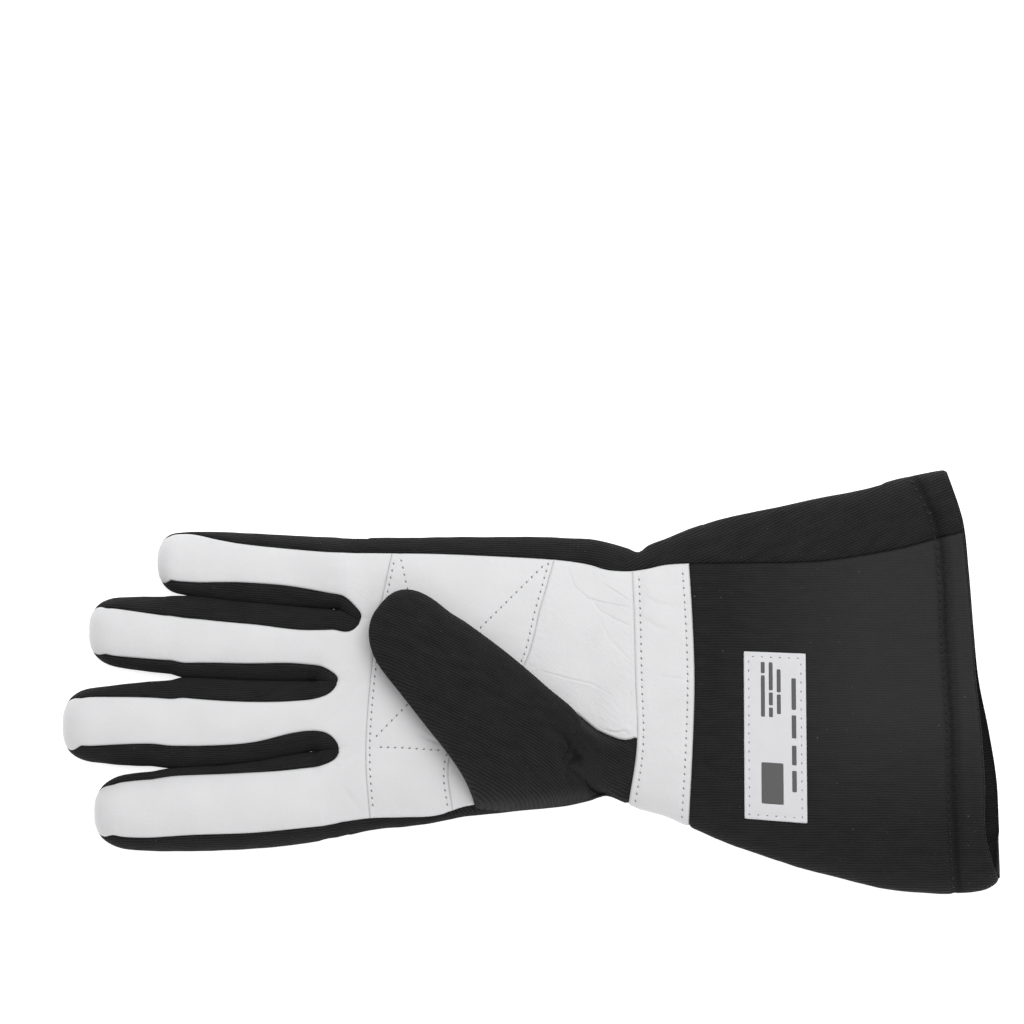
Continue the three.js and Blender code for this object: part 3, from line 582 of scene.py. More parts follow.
@dataclass
class Skin:
    """The whole skin as shared points and four-cornered cells, each cell on one sewn panel."""

    form: HandForm
    step: float = 1.15
    crotch_rows: int = 14
    crotch_crowding: float = 1.6
    finger_rows: int = 84
    tip_crowding: float = 1.7
    finer: dict[Panel, int] = field(default_factory=lambda: {Panel.HEEL: 3, Panel.PATCH: 2, Panel.BAND: 2})
    points: Array = field(init=False)
    normals: Array = field(init=False)
    quads: Array = field(init=False)
    cloth: Array = field(init=False)
    panel: Array = field(init=False)
    palm_side: Array = field(init=False)
    hem: Array = field(init=False)

    def __post_init__(self) -> None:
        """Build the grids of both sides, lane by lane, and join them at shared points."""
        lane_parts, offset = [], 0
        for side in Side:
            around = None
            for lane in range(len(FINGERS)):
                part, around = self.lane_part(lane, side, around, offset)
                lane_parts.append(part)
                offset += len(part[0])
        joined = [np.concatenate(column) for column in zip(*lane_parts)]
        every, cloth, corners, self.panel, self.palm_side, self.hem = joined
        _, first, share = np.unique(np.round(every, 3), axis=0, return_index=True, return_inverse=True)
        self.points = every[first]
        self.quads = share.ravel()[corners]
        self.cloth = cloth[corners]
        kept = (np.diff(np.sort(self.quads, 1), axis=1) == 0).sum(1) < 2
        for name in ("quads", "cloth", "panel", "palm_side", "hem"):
            setattr(self, name, getattr(self, name)[kept])
        self.normals = vertex_normals(self.points, self.quads)
        for panel, parts in self.finer.items():
            self.refine(panel, parts)

    def lane_part(self, lane: int, side: Side, around: Array | None, offset: int) -> tuple[list, Array]:
        """Work out one lane of one side, with the cloth coordinates x and the length round the hand.

        On the free fingers that length is counted from the middle of the finger.

        Args:
            lane: which finger's lane.
            side: palm or back.
            around: the length round the hand at the lane's first column, for each row, or None for 0.
            offset: the number of the lane's first point.

        Returns:
            The points, their cloth coordinates, the cells and the panel, side and hem of each cell, and
            the length round the hand at the lane's last column.
        """
        columns = self.columns(side)
        grid, row = self.lane_grid(lane, columns, side)
        lengths = np.linalg.norm(np.diff(grid, axis=1), axis=2)
        arc = np.concatenate([np.zeros((len(grid), 1)), np.cumsum(lengths, 1)], 1)
        begin = np.zeros(len(grid)) if around is None else around
        middle = len(columns) // 2
        v = arc + begin[:, None]
        first_free = int(np.searchsorted(row, sum(SPANS)))
        v[first_free:] = arc[first_free:] - arc[first_free:, [middle]] + v[first_free, middle]
        cells = grid_cells(offset + np.arange(v.size).reshape(v.shape))
        if side is Side.BACK:
            cells = cells[..., ::-1]
        shape = cells.shape[:2]
        middle_row = np.broadcast_to(((row[:-1] + row[1:]) / 2)[:, None], shape)
        middle_column = np.broadcast_to(((columns[:-1] + columns[1:]) / 2)[None], shape)
        part = [
            grid.reshape(-1, 3),
            np.stack([grid[..., 0], v], -1).reshape(-1, 2),
            cells.reshape(-1, 4),
            self.panel_of(middle_row, middle_column, lane, side).ravel(),
            np.full(shape[0] * shape[1], side is Side.PALM),
            (middle_row < SPANS[0]).ravel(),
        ]
        return part, v[:, -1]

    def refine(self, panel: Panel, parts: int) -> None:
        """Cut every cell of a panel into parts by parts smaller ones.

        A new point is the mean of the cell's corners weighted by (1 - u) or u times (1 - v) or v.
        """
        chosen = self.panel == PANELS.index(panel)
        u, v = np.meshgrid(np.linspace(0, 1, parts + 1), np.linspace(0, 1, parts + 1), indexing="ij")
        weight = np.stack([(1 - u) * (1 - v), u * (1 - v), u * v, (1 - u) * v], -1)
        corners = self.quads[chosen]
        fresh = np.einsum("ijk,ckd->cijd", weight, self.points[corners]).reshape(-1, 3)
        normals = np.einsum("ijk,ckd->cijd", weight, self.normals[corners]).reshape(-1, 3)
        cloth = np.einsum("ijk,ckd->cijd", weight, self.cloth[chosen])
        _, first, share = np.unique(np.round(fresh, 4), axis=0, return_index=True, return_inverse=True)
        index = share.reshape(len(corners), parts + 1, parts + 1) + len(self.points)
        around = [(slice(None, -1), slice(None, -1)), (slice(1, None), slice(None, -1)),
                  (slice(1, None), slice(1, None)), (slice(None, -1), slice(1, None))]
        quads = np.stack([index[:, i, j] for i, j in around], -1).reshape(-1, 4)
        coordinates = np.stack([cloth[:, i, j] for i, j in around], 3).reshape(-1, 4, 2)
        each = parts * parts
        self.points = np.concatenate([self.points, fresh[first]])
        self.normals = np.concatenate([self.normals, unit(normals[first])])
        self.quads = np.concatenate([self.quads[~chosen], quads])
        self.cloth = np.concatenate([self.cloth[~chosen], coordinates])
        for name in ("panel", "palm_side", "hem"):
            old = getattr(self, name)
            setattr(self, name, np.concatenate([old[~chosen], np.repeat(old[chosen], each)]))

    def columns(self, side: Side) -> Array:
        """Return the columns of a lane, from 0 to 8, closer on the palm side and beside its seams."""
        edge, face = (9, 24) if side is Side.PALM else (5, 18)
        even = [np.linspace(0, 2, edge), np.linspace(2, 6, face), np.linspace(6, 8, edge)]
        seams = [1.86, 1.95, 2.07, 2.16, 5.84, 5.93, 6.05, 6.14] if side is Side.PALM else [1.9, 6.1]
        return np.unique(np.concatenate([*even, seams]))

    def shares(self, length: float) -> Array:
        """Return the rows from one line to the next, as shares, closer beside both lines."""
        margin = np.array([0.0, 0.35, 0.8, 1.5])
        count = max(2, round((length - 2 * margin[-1]) / self.step))
        inside = np.linspace(margin[-1], length - margin[-1], count + 1)[1:-1]
        places = np.concatenate([margin, inside, length - margin[:0:-1]])
        return places / length

    def lane_grid(self, lane: int, columns: Array, side: Side) -> tuple[Array, Array]:
        """Return one lane from the cuff to the fingertip, and the coarse row number of each row."""
        names = list(LINES)
        blocks, numbers = [], []
        before = 0
        for k, span in enumerate(SPANS):
            length = abs(self.form.line(LINES[names[k]], 0.5) - self.form.line(LINES[names[k + 1]], 0.5))
            share = self.shares(length)
            blocks.append(self.form.hand(lane, (k, share), columns, side))
            numbers.append(before + share * span)
            before += span
        t = np.linspace(0, 1, self.crotch_rows, endpoint=False)
        distance = CROTCH * t ** self.crotch_crowding
        blocks.append(self.form.finger(lane, distance, None, columns, side))
        numbers.append(before + distance / CROTCH)
        t = np.linspace(0, 1, self.finger_rows)
        share = 1 - (1 - t) ** self.tip_crowding
        blocks.append(self.form.finger(lane, None, share, columns, side))
        numbers.append(before + 1 + share)
        return np.concatenate(blocks), np.concatenate(numbers)

    def panel_of(self, row: Array, column: Array, lane: int, side: Side) -> Array:
        """Return the number of the panel that each cell belongs to."""
        band_right = sum(SPANS[:2])
        band_left = sum(SPANS[:3])
        patch_arc = sum(SPANS[:4])
        patch_edge = sum(SPANS[:5])
        knuckles = sum(SPANS)
        near_side = column < 2
        far_side = column > 6
        number = {panel: PANELS.index(panel) for panel in PANELS}
        on_palm = (side is Side.PALM) & ~((lane == 0) & near_side)
        wrapped = (side is Side.BACK) & (lane == LAST_LANE) & far_side
        covered = on_palm | wrapped
        index_lane = lane == LAST_LANE
        beside_thumb = index_lane & (row < band_left + 2)
        under_thumb = index_lane & (row < patch_arc - 1) & (column > 4)
        knit_side = ~on_palm | (index_lane & far_side) | beside_thumb | under_thumb
        free = row >= knuckles
        fourchette = free & ((near_side & (lane > 0)) | (far_side & (lane < LAST_LANE)))
        which = np.where(near_side, lane, lane + 1)
        choices = [
            (fourchette, number[Panel.FOURCHETTE_1] + which - 1),
            (free & ((side is Side.BACK) | near_side | far_side), number[Panel.BACK]),
            (free, number[Panel.LEATHER]),
            (row < band_right, np.where(covered, number[Panel.GAUNTLET], number[Panel.BACK])),
            (row < band_left, np.where(covered, number[Panel.BAND], number[Panel.BACK])),
            (knit_side, number[Panel.BACK]),
            (row < patch_arc, number[Panel.HEEL]),
            (row < patch_edge, number[Panel.PATCH]),
        ]
        conditions = [np.broadcast_to(test, row.shape) for test, _ in choices]
        values = [np.broadcast_to(value, row.shape) for _, value in choices]
        return np.select(conditions, values, number[Panel.LEATHER])


def vertex_normals(points: Array, quads: Array) -> Array:
    """Return the area-weighted normal at each point of four-cornered cells."""
    a, b, c, d = (points[quads[:, k]] for k in range(4))
    face = np.cross(c - a, d - b)
    normals = np.zeros_like(points)
    for k in range(4):
        np.add.at(normals, quads[:, k], face)
    return unit(normals)


@dataclass
class Piece:
    """A mesh in the making: points, cells and cloth coordinates, all in millimetres."""

    name: str
    points: Array
    cells: Array
    cloth: Array
    # Each point's distance to its seam, from which the material paints shade
    seam: Array | None = None

    def build(self, finish: "Finish", slot: str, replaces: tuple[str, ...] = ()) -> bpy.types.Object:
        """Make the Blender object, dress it and hand it to the frame.

        Args:
            finish: the finish that makes its material.
            slot: the record's material slot; not used.
            replaces: the CAD nodes that it stands for.

        Returns:
            The finished object.
        """
        quads = self.cells
        doubled = quads == np.roll(quads, -1, axis=1)
        whole = ~doubled.any(1)
        three = doubled.sum(1) == 1
        drop = doubled[three].argmax(1)
        keep = (drop[:, None] + np.array([1, 2, 3])[None]) % 4
        triangles = np.take_along_axis(quads[three], keep, 1)
        mesh = bpy.data.meshes.new(self.name)
        mesh.from_pydata((self.points * MM).tolist(), [], quads[whole].tolist() + triangles.tolist())
        layer = mesh.uv_layers.new(name="cloth")
        of_triangles = np.take_along_axis(self.cloth[three], keep[..., None], 1)
        uv = np.concatenate([self.cloth[whole].reshape(-1, 2), of_triangles.reshape(-1, 2)])
        layer.data.foreach_set("uv", uv.astype(np.float32).ravel())
        # The distance that sets the painted shade beside seams, in the hem's groove and in the folds
        seam = mesh.attributes.new("painted_shade_distance", "FLOAT", "POINT")
        away = np.full(len(self.points), FAR) if self.seam is None else self.seam
        seam.data.foreach_set("value", away.astype(np.float32))
        mesh.polygons.foreach_set("use_smooth", np.ones(len(mesh.polygons), bool))
        mesh.update()
        item = bpy.data.objects.new(self.name, mesh)
        bpy.context.scene.collection.objects.link(item)
        mesh.materials.append(finish.material())
        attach(item, "root")
        if replaces:
            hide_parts(*replaces)
        LOG.info("%s: %d faces", self.name, len(mesh.polygons))
        return item


def walled(name: str, points: Array, normals: Array, quads: Array, cloth: Array, thick: Array,
           seam: Array | None = None) -> Piece:
    """Close an open skin to a wall: an inner face behind it and a rounded rim round its borders.

    The inner point is the outer one less the normal times the thickness. The rim goes over a point
    half way down that stands out a little.

    Args:
        name: the piece's name.
        points: the outer face's points.
        normals: the outward normal at each.
        quads: the outer face's cells.
        cloth: the cloth coordinates of the cells' corners.
        thick: the wall's thickness at each point.
        seam: the distance from each point to its seam, which sets its painted shade.

    Returns:
        The closed piece.
    """
    points, quads, used = compact(points, quads)
    normals, thick = normals[used], thick[used]
    seam = np.full(len(points), FAR) if seam is None else seam[used]
    count = len(points)
    a, b, border = border_of(quads, count)
    start, stop = a[border], b[border]
    corner_a = cloth.reshape(-1, 2)[border]
    corner_b = np.roll(cloth, -1, axis=1).reshape(-1, 2)[border]
    along = unit(points[stop] - points[start])
    outward = np.zeros_like(points)
    for ends in (start, stop):
        np.add.at(outward, ends, -np.cross(normals[ends], along))
    outward = unit(outward)
    inner = points - normals * thick[:, None]
    rim = points - normals * (thick / 2)[:, None] + outward * RIM_BULGE
    every = np.concatenate([points, inner, rim])
    down = np.stack([stop, start, start + 2 * count, stop + 2 * count], -1)
    under = np.stack([stop + 2 * count, start + 2 * count, start + count, stop + count], -1)
    edge_cloth = np.stack([corner_b, corner_a, corner_a, corner_b], 1)
    cells = np.concatenate([quads, quads[:, ::-1] + count, down, under])
    coordinates = np.concatenate([cloth, cloth[:, ::-1], edge_cloth, edge_cloth])
    every, cells, kept = compact(every, cells)
    return Piece(name, every, cells, coordinates, np.tile(seam, 3)[kept])


def border_of(quads: Array, count: int) -> tuple[Array, Array, Array]:
    """Find the edges that only one cell has.

    Args:
        quads: the cells.
        count: the number of points.

    Returns:
        The start and end of every cell's edges, and which of them are borders.
    """
    a = quads.ravel()
    b = np.roll(quads, -1, axis=1).ravel()
    real = a != b
    return a, b, real & ~np.isin(b * count + a, (a * count + b)[real])


class Graph:
    """Writes a shader node tree in short steps."""

    def __init__(self, tree: bpy.types.NodeTree) -> None:
        """Keep the tree that is written."""
        self.tree = tree

    def plug(self, socket: Socket, value: object) -> None:
        """Link a socket to another, or set its value."""
        if isinstance(value, Socket):
            self.tree.links.new(value, socket)
        else:
            socket.default_value = value

    def add(self, kind: str, inputs: dict, **settings: object) -> bpy.types.Node:
        """Add a node, set its settings and plug its inputs, by name or number."""
        node = self.tree.nodes.new(kind)
        for name, value in settings.items():
            setattr(node, name, value)
        for name, value in inputs.items():
            self.plug(node.inputs[name], value)
        return node

    def math(self, operation: str, *values: object) -> Socket:
        """Return the result of a Math node."""
        node = self.add("ShaderNodeMath", dict(enumerate(values)), operation=operation)
        return node.outputs[0]

    def noise(self, vector: object, scale: float, detail: float = 2.0) -> Socket:
        """Return noise from 0 to 1 with features of 1 / scale."""
        inputs = {"Vector": vector, "Scale": scale, "Detail": detail, "Roughness": 0.55}
        return self.add("ShaderNodeTexNoise", inputs).outputs[0]

    def ramp(self, value: object, low: float, high: float, first: float, last: float) -> Socket:
        """Return value mapped from low..high to first..last and held between them."""
        inputs = {0: value, 1: low, 2: high, 3: first, 4: last}
        return self.add("ShaderNodeMapRange", inputs, clamp=True).outputs[0]

    def blend(self, share: object, first: object, second: object) -> Socket:
        """Return the colour a share of the way from first to second."""
        node = self.add("ShaderNodeMix", {}, data_type="RGBA")
        self.plug(node.inputs[0], share)
        self.plug(node.inputs[6], first)
        self.plug(node.inputs[7], second)
        return node.outputs[2]

    def stretch(self, vector: object, x: float, y: float) -> Socket:
        """Return a vector with its first two parts scaled."""
        return self.add("ShaderNodeMapping", {"Vector": vector, "Scale": (x, y, 1.0)}).outputs[0]


@dataclass(frozen=True)
class Effect:
    """A shader node group with named inputs and outputs, built once."""

    name: str = "effect"
    inputs: tuple[tuple[str, str, float], ...] = ()
    outputs: tuple[str, ...] = ("Height", "Shade")

    def place(self, graph: Graph, values: dict) -> dict[str, Socket]:
        """Place the group in a material's tree.

        Args:
            graph: the material's tree.
            values: a number or socket for each input.

        Returns:
            The group's outputs by name.
        """
        tree = bpy.data.node_groups.get(self.name) or self.make()
        node = graph.add("ShaderNodeGroup", {}, node_tree=tree)
        for name, value in values.items():
            graph.plug(node.inputs[name], value)
        return {name: node.outputs[name] for name in self.outputs}

    def make(self) -> bpy.types.NodeTree:
        """Make the group's sockets and fill it."""
        tree = bpy.data.node_groups.new(self.name, "ShaderNodeTree")
        tree.interface.new_socket("Cloth", in_out="INPUT", socket_type="NodeSocketVector")
        for name, kind, default in self.inputs:
            socket = tree.interface.new_socket(name, in_out="INPUT", socket_type=kind)
            socket.default_value = default
        for name in self.outputs:
            tree.interface.new_socket(name, in_out="OUTPUT", socket_type="NodeSocketFloat")
        graph = Graph(tree)
        given = graph.add("NodeGroupInput", {})
        result = graph.add("NodeGroupOutput", {})
        for name, socket in self.fill(graph, given.outputs).items():
            graph.plug(result.inputs[name], socket)
        return tree

    def fill(self, graph: Graph, given: bpy.types.NodeOutputs) -> dict[str, Socket]:
        """Return the socket that feeds each output; every effect has its own."""
        raise NotImplementedError


@dataclass(frozen=True)
class RibKnit(Effect):
    """Ribs of knitted loops: ridges a pitch apart, each a row of loops, with fibres and heather.

    A ridge is ((1 + cos) / 2)^1.3 across. Its loops are (1 + sin) / 2 along it, half a loop further on
    every other ridge. Noise makes the ridges wander and adds fibres.
    """

    name: str = "rib_knit"
    inputs: tuple = (("Pitch", "NodeSocketFloat", 1.1), ("Loopiness", "NodeSocketFloat", 0.35))

    def fill(self, graph: Graph, given: bpy.types.NodeOutputs) -> dict[str, Socket]:
        """Write the ribs, loops and fibres."""
        parts = graph.add("ShaderNodeSeparateXYZ", {0: given["Cloth"]}).outputs
        drift = graph.math("SUBTRACT", graph.noise(given["Cloth"], 0.07), 0.5)
        v = graph.math("ADD", parts[1], graph.math("MULTIPLY", drift, 1.6))
        rows = graph.math("DIVIDE", v, given["Pitch"])
        turn = graph.math("MULTIPLY", rows, 2 * np.pi)
        wave = graph.math("MULTIPLY_ADD", graph.math("COSINE", turn), 0.5, 0.5)
        ridge = graph.math("POWER", wave, 1.3)
        number = graph.math("FLOOR", graph.math("ADD", rows, 0.5))
        shift = graph.math("MULTIPLY", number, np.pi)
        course = graph.math("DIVIDE", graph.math("MULTIPLY", parts[0], 2 * np.pi * 1.35), given["Pitch"])
        loop = graph.math("MULTIPLY_ADD", graph.math("SINE", graph.math("ADD", course, shift)), 0.5, 0.5)
        plain = graph.math("SUBTRACT", 1.0, given["Loopiness"])
        looped = graph.math("MULTIPLY_ADD", loop, given["Loopiness"], plain)
        knit = graph.math("MULTIPLY", ridge, looped)
        fibre = graph.noise(graph.stretch(given["Cloth"], 0.5, 1.0), 2.6, 3.0)
        heather = graph.noise(graph.stretch(given["Cloth"], 0.35, 1.0), 0.35, 4.0)
        height = graph.math("MULTIPLY_ADD", fibre, 0.4, knit)
        shade = graph.math("MULTIPLY_ADD", knit, 0.75, graph.ramp(fibre, 0.3, 0.7, 0.0, 0.3))
        shade = graph.math("ADD", shade, graph.ramp(heather, 0.3, 0.7, 0.0, 0.3))
        return {"Height": height, "Shade": shade}


@dataclass(frozen=True)
class HideGrain(Effect):
    """Leather grain: small pebbles, fine pores, and faint slanting wrinkles in some places, whose lines get
    a little painted shade.
    """

    name: str = "hide_grain"
    inputs: tuple = (("Wrinkles", "NodeSocketFloat", 0.5),)

    def fill(self, graph: Graph, given: bpy.types.NodeOutputs) -> dict[str, Socket]:
        """Write the pebbles, pores and wrinkles."""
        place = given["Cloth"]
        pebbles = graph.add("ShaderNodeTexVoronoi", {"Vector": place, "Scale": 1.3}, feature="SMOOTH_F1")
        pebble = pebbles.outputs[0]
        pores = graph.noise(place, 3.0, 2.0)
        turned = graph.add("ShaderNodeMapping", {"Vector": place, "Rotation": (0.0, 0.0, 0.8)}).outputs[0]
        wavy = graph.noise(graph.stretch(turned, 0.16, 1.0), 0.42, 3.0)
        away = graph.math("ABSOLUTE", graph.math("SUBTRACT", wavy, 0.5))
        line = graph.ramp(away, 0.0, 0.05, 1.0, 0.0)
        where = graph.ramp(graph.noise(place, 0.05, 1.0), 0.48, 0.66, 0.0, 1.0)
        wrinkle = graph.math("MULTIPLY", graph.math("MULTIPLY", line, where), given["Wrinkles"])
        height = graph.math("MULTIPLY_ADD", pores, 0.35, graph.math("MULTIPLY", pebble, -0.45))
        height = graph.math("SUBTRACT", height, graph.math("MULTIPLY", wrinkle, 0.4))
        cloud = graph.noise(place, 0.06, 3.0)
        # The wrinkles' lines are a little darker: painted shade in their creases
        shade = graph.math("MULTIPLY_ADD", wrinkle, 0.07, graph.ramp(cloud, 0.3, 0.7, 0.0, 0.3))
        return {"Height": height, "Shade": shade}


@dataclass(frozen=True)
class Lint(Effect):
    """A few pale fibres and specks that cling to a cloth."""

    name: str = "lint"
    inputs: tuple = (("Amount", "NodeSocketFloat", 0.5),)
    outputs: tuple[str, ...] = ("Mask",)

    def fill(self, graph: Graph, given: bpy.types.NodeOutputs) -> dict[str, Socket]:
        """Write the specks where two noises are both high."""
        specks = graph.ramp(graph.noise(given["Cloth"], 0.9, 1.0), 0.76, 0.82, 0.0, 1.0)
        strands = graph.noise(graph.stretch(given["Cloth"], 0.25, 2.2), 0.8, 2.0)
        hairs = graph.ramp(strands, 0.74, 0.82, 0.0, 0.5)
        return {"Mask": graph.math("MULTIPLY", graph.math("MAXIMUM", specks, hairs), given["Amount"])}


@dataclass(frozen=True)
class ThreadLay(Effect):
    """Threads side by side, as in embroidery and woven tape: ridges a pitch apart, with a twist."""

    name: str = "thread_lay"
    inputs: tuple = (("Pitch", "NodeSocketFloat", 0.4), ("Twist", "NodeSocketFloat", 0.5))

    def fill(self, graph: Graph, given: bpy.types.NodeOutputs) -> dict[str, Socket]:
        """Write the ridges and their twist."""
        parts = graph.add("ShaderNodeSeparateXYZ", {0: given["Cloth"]}).outputs
        drift = graph.math("SUBTRACT", graph.noise(given["Cloth"], 0.5), 0.5)
        v = graph.math("MULTIPLY_ADD", drift, 0.35, parts[1])
        turn = graph.math("DIVIDE", graph.math("MULTIPLY", v, 2 * np.pi), given["Pitch"])
        ridge = graph.math("MULTIPLY_ADD", graph.math("COSINE", turn), 0.5, 0.5)
        slant = graph.math("ADD", graph.math("MULTIPLY", parts[0], 9.0), turn)
        twist = graph.math("MULTIPLY", graph.math("SINE", slant), given["Twist"])
        height = graph.math("MULTIPLY_ADD", twist, 0.18, ridge)
        fuzz = graph.math("MULTIPLY", graph.noise(given["Cloth"], 1.2), 0.4)
        shade = graph.math("MULTIPLY_ADD", height, 0.7, fuzz)
        return {"Height": height, "Shade": shade}


# Near black for the painted shade beside seams, in the hem's groove and in the folds
PAINTED_SHADE_COLOUR = (0.003, 0.003, 0.003, 1)
# A lighter grey for the gauntlet knit's painted sheen
PAINTED_SHEEN_COLOUR = (0.05, 0.05, 0.05, 1)
LINT_COLOUR = (0.3, 0.3, 0.3, 1)


@dataclass(frozen=True)
class Finish:
    """A finish: its light and dark colour, roughness and relief. Its kinds add their own pattern."""

    name: str
    light: Colour
    dark: Colour
    roughness: float = 0.8
    relief: float = 0.3
    sheen: float = 0.0
    # How much painted shade lies beside seams, in the hem's groove and in the folds, and how far from them
    # it spreads
    seam_shade: float = 0.35
    seam_reach: float = 0.5
    shine: float = 0.3

    def material(self) -> bpy.types.Material:
        """Return the material, made once: the effect's shade picks the colour, and painted shade darkens it
        beside seams, in the hem's groove and in the folds.
        """
        made = bpy.data.materials.get(self.name)
        if made:
            return made
        made = bpy.data.materials.new(self.name)
        made.use_nodes = True
        graph = Graph(made.node_tree)
        shader = made.node_tree.nodes["Principled BSDF"]
        cloth = graph.add("ShaderNodeUVMap", {}, uv_map="cloth").outputs[0]
        found = self.effect(graph, cloth)
        colour = graph.blend(found["Shade"], (*self.dark, 1), (*self.light, 1))
        colour = self.over(graph, cloth, colour)
        # Painted shade: the colour goes towards near black where the distance in this attribute is small,
        # beside seams, in the hem's groove and in the folds; noise makes its edge ragged.
        away = graph.add("ShaderNodeAttribute", {}, attribute_name="painted_shade_distance").outputs["Fac"]
        ragged = graph.math("MULTIPLY_ADD", graph.noise(cloth, 0.7), self.seam_reach, away)
        near = graph.ramp(ragged, 0.5 * self.seam_reach, 1.5 * self.seam_reach, self.seam_shade, 0.0)
        graph.plug(shader.inputs["Base Color"], graph.blend(near, colour, PAINTED_SHADE_COLOUR))
        rough = graph.ramp(found["Shade"], 0.0, 1.0, self.roughness - 0.05, self.roughness + 0.04)
        graph.plug(shader.inputs["Roughness"], rough)
        shader.inputs["Specular IOR Level"].default_value = self.shine
        shader.inputs["Sheen Weight"].default_value = self.sheen
        shader.inputs["Sheen Roughness"].default_value = 0.5
        relief = {"Strength": 0.8, "Distance": self.relief * MM, "Height": found["Height"]}
        bump = graph.add("ShaderNodeBump", relief)
        graph.plug(shader.inputs["Normal"], bump.outputs[0])
        return made

    def effect(self, graph: Graph, cloth: Socket) -> dict[str, Socket]:
        """Return the height and shade of the finish's pattern."""
        raise NotImplementedError

    def over(self, graph: Graph, cloth: Socket, colour: Socket) -> Socket:
        """Return the colour with what lies on it; most finishes have nothing."""
        return colour


@dataclass(frozen=True)
class KnitFinish(Finish):
    """Ribbed knit with a little lint, and a painted sheen that makes part of the cloth lighter."""

    pitch: float = 0.9
    loopiness: float = 0.45
    lint: float = 0.35
    # The painted sheen: its strength, and where it begins and is full along and across the cloth
    painted_sheen: float = 0.0
    painted_sheen_from: float = 65.0
    painted_sheen_to: float = 115.0
    painted_sheen_index_side: float = -52.0
    painted_sheen_full_at: float = -10.0

    def effect(self, graph: Graph, cloth: Socket) -> dict[str, Socket]:
        """Return the ribs."""
        values = {"Cloth": cloth, "Pitch": self.pitch, "Loopiness": self.loopiness}
        return RibKnit().place(graph, values)

    def over(self, graph: Graph, cloth: Socket, colour: Socket) -> Socket:
        """Return the colour with its painted sheen and lint."""
        # Painted sheen: the knit gets lighter towards the hem and away from the index side, where light
        # catches it.
        if self.painted_sheen:
            place = graph.add("ShaderNodeSeparateXYZ", {0: cloth}).outputs
            along = graph.ramp(place[0], self.painted_sheen_from, self.painted_sheen_to, 0.0, self.painted_sheen)
            across = graph.ramp(place[1], self.painted_sheen_index_side, self.painted_sheen_full_at, 0.0, 1.0)
            colour = graph.blend(graph.math("MULTIPLY", along, across), colour, PAINTED_SHEEN_COLOUR)
        lint = Lint().place(graph, {"Cloth": cloth, "Amount": self.lint})["Mask"]
        return graph.blend(lint, colour, LINT_COLOUR)


@dataclass(frozen=True)
class HideFinish(Finish):
    """Soft white leather."""

    wrinkles: float = 0.5

    def effect(self, graph: Graph, cloth: Socket) -> dict[str, Socket]:
        """Return the grain, with its shade turned so that the wrinkles' lines are darker: painted shade in
        their creases.
        """
        found = HideGrain().place(graph, {"Cloth": cloth, "Wrinkles": self.wrinkles})
        return {"Height": found["Height"], "Shade": graph.math("SUBTRACT", 1.0, found["Shade"])}


@dataclass(frozen=True)
class ThreadFinish(Finish):
    """Threads laid side by side."""

    pitch: float = 0.4
    twist: float = 0.5

    def effect(self, graph: Graph, cloth: Socket) -> dict[str, Socket]:
        """Return the threads."""
        return ThreadLay().place(graph, {"Cloth": cloth, "Pitch": self.pitch, "Twist": self.twist})


KNIT = KnitFinish("black_knit", light=(0.027, 0.027, 0.0274), dark=(0.0045, 0.0045, 0.0047),
                  roughness=0.93, relief=0.4, sheen=0.03, seam_shade=0.75, seam_reach=0.6, shine=0.12)
GAUNTLET_KNIT = replace(KNIT, name="black_gauntlet_knit", light=(0.025, 0.025, 0.0254),
                        dark=(0.0065, 0.0065, 0.0067), relief=0.3, painted_sheen=0.42)
HIDE = HideFinish("white_leather", light=(0.72, 0.72, 0.73), dark=(0.60, 0.60, 0.61), roughness=0.58,
                  relief=0.14, seam_reach=0.25, shine=0.35)
CREASED_HIDE = replace(HIDE, name="creased_white_leather", relief=0.16, wrinkles=0.9)
WHITE_THREAD = ThreadFinish("white_thread", light=(0.80, 0.80, 0.81), dark=(0.7, 0.7, 0.7), roughness=0.7,
                            relief=0.05)
# Grey thread on the label, also used for the dark marks that paint the shade of the needle holes
GREY_THREAD_AND_HOLE_SHADE = ThreadFinish("grey_thread_and_hole_shade", light=(0.31, 0.31, 0.31), dark=(0.2, 0.2, 0.2), relief=0.05)
BLACK_THREAD = ThreadFinish("black_thread", light=(0.026, 0.026, 0.026), dark=(0.006, 0.006, 0.006),
                            roughness=0.5, relief=0.1)
RED_THREAD = ThreadFinish("red_thread", light=(0.62, 0.045, 0.05), dark=(0.35, 0.015, 0.02),
                          roughness=0.5, relief=0.25)
WOVEN_LABEL = ThreadFinish("woven_label", light=(0.76, 0.76, 0.78), dark=(0.66, 0.66, 0.68),
                           roughness=0.65, relief=0.06, pitch=0.3, twist=0.2)
PRINT = ThreadFinish("grey_print", light=(0.13, 0.13, 0.13), dark=(0.09, 0.09, 0.09), relief=0.04,
                     pitch=0.3, twist=0.2)
FINISHES = {Panel.GAUNTLET: GAUNTLET_KNIT, Panel.LEATHER: HIDE, Panel.PATCH: HIDE, Panel.BAND: HIDE,
            Panel.HEEL: CREASED_HIDE}


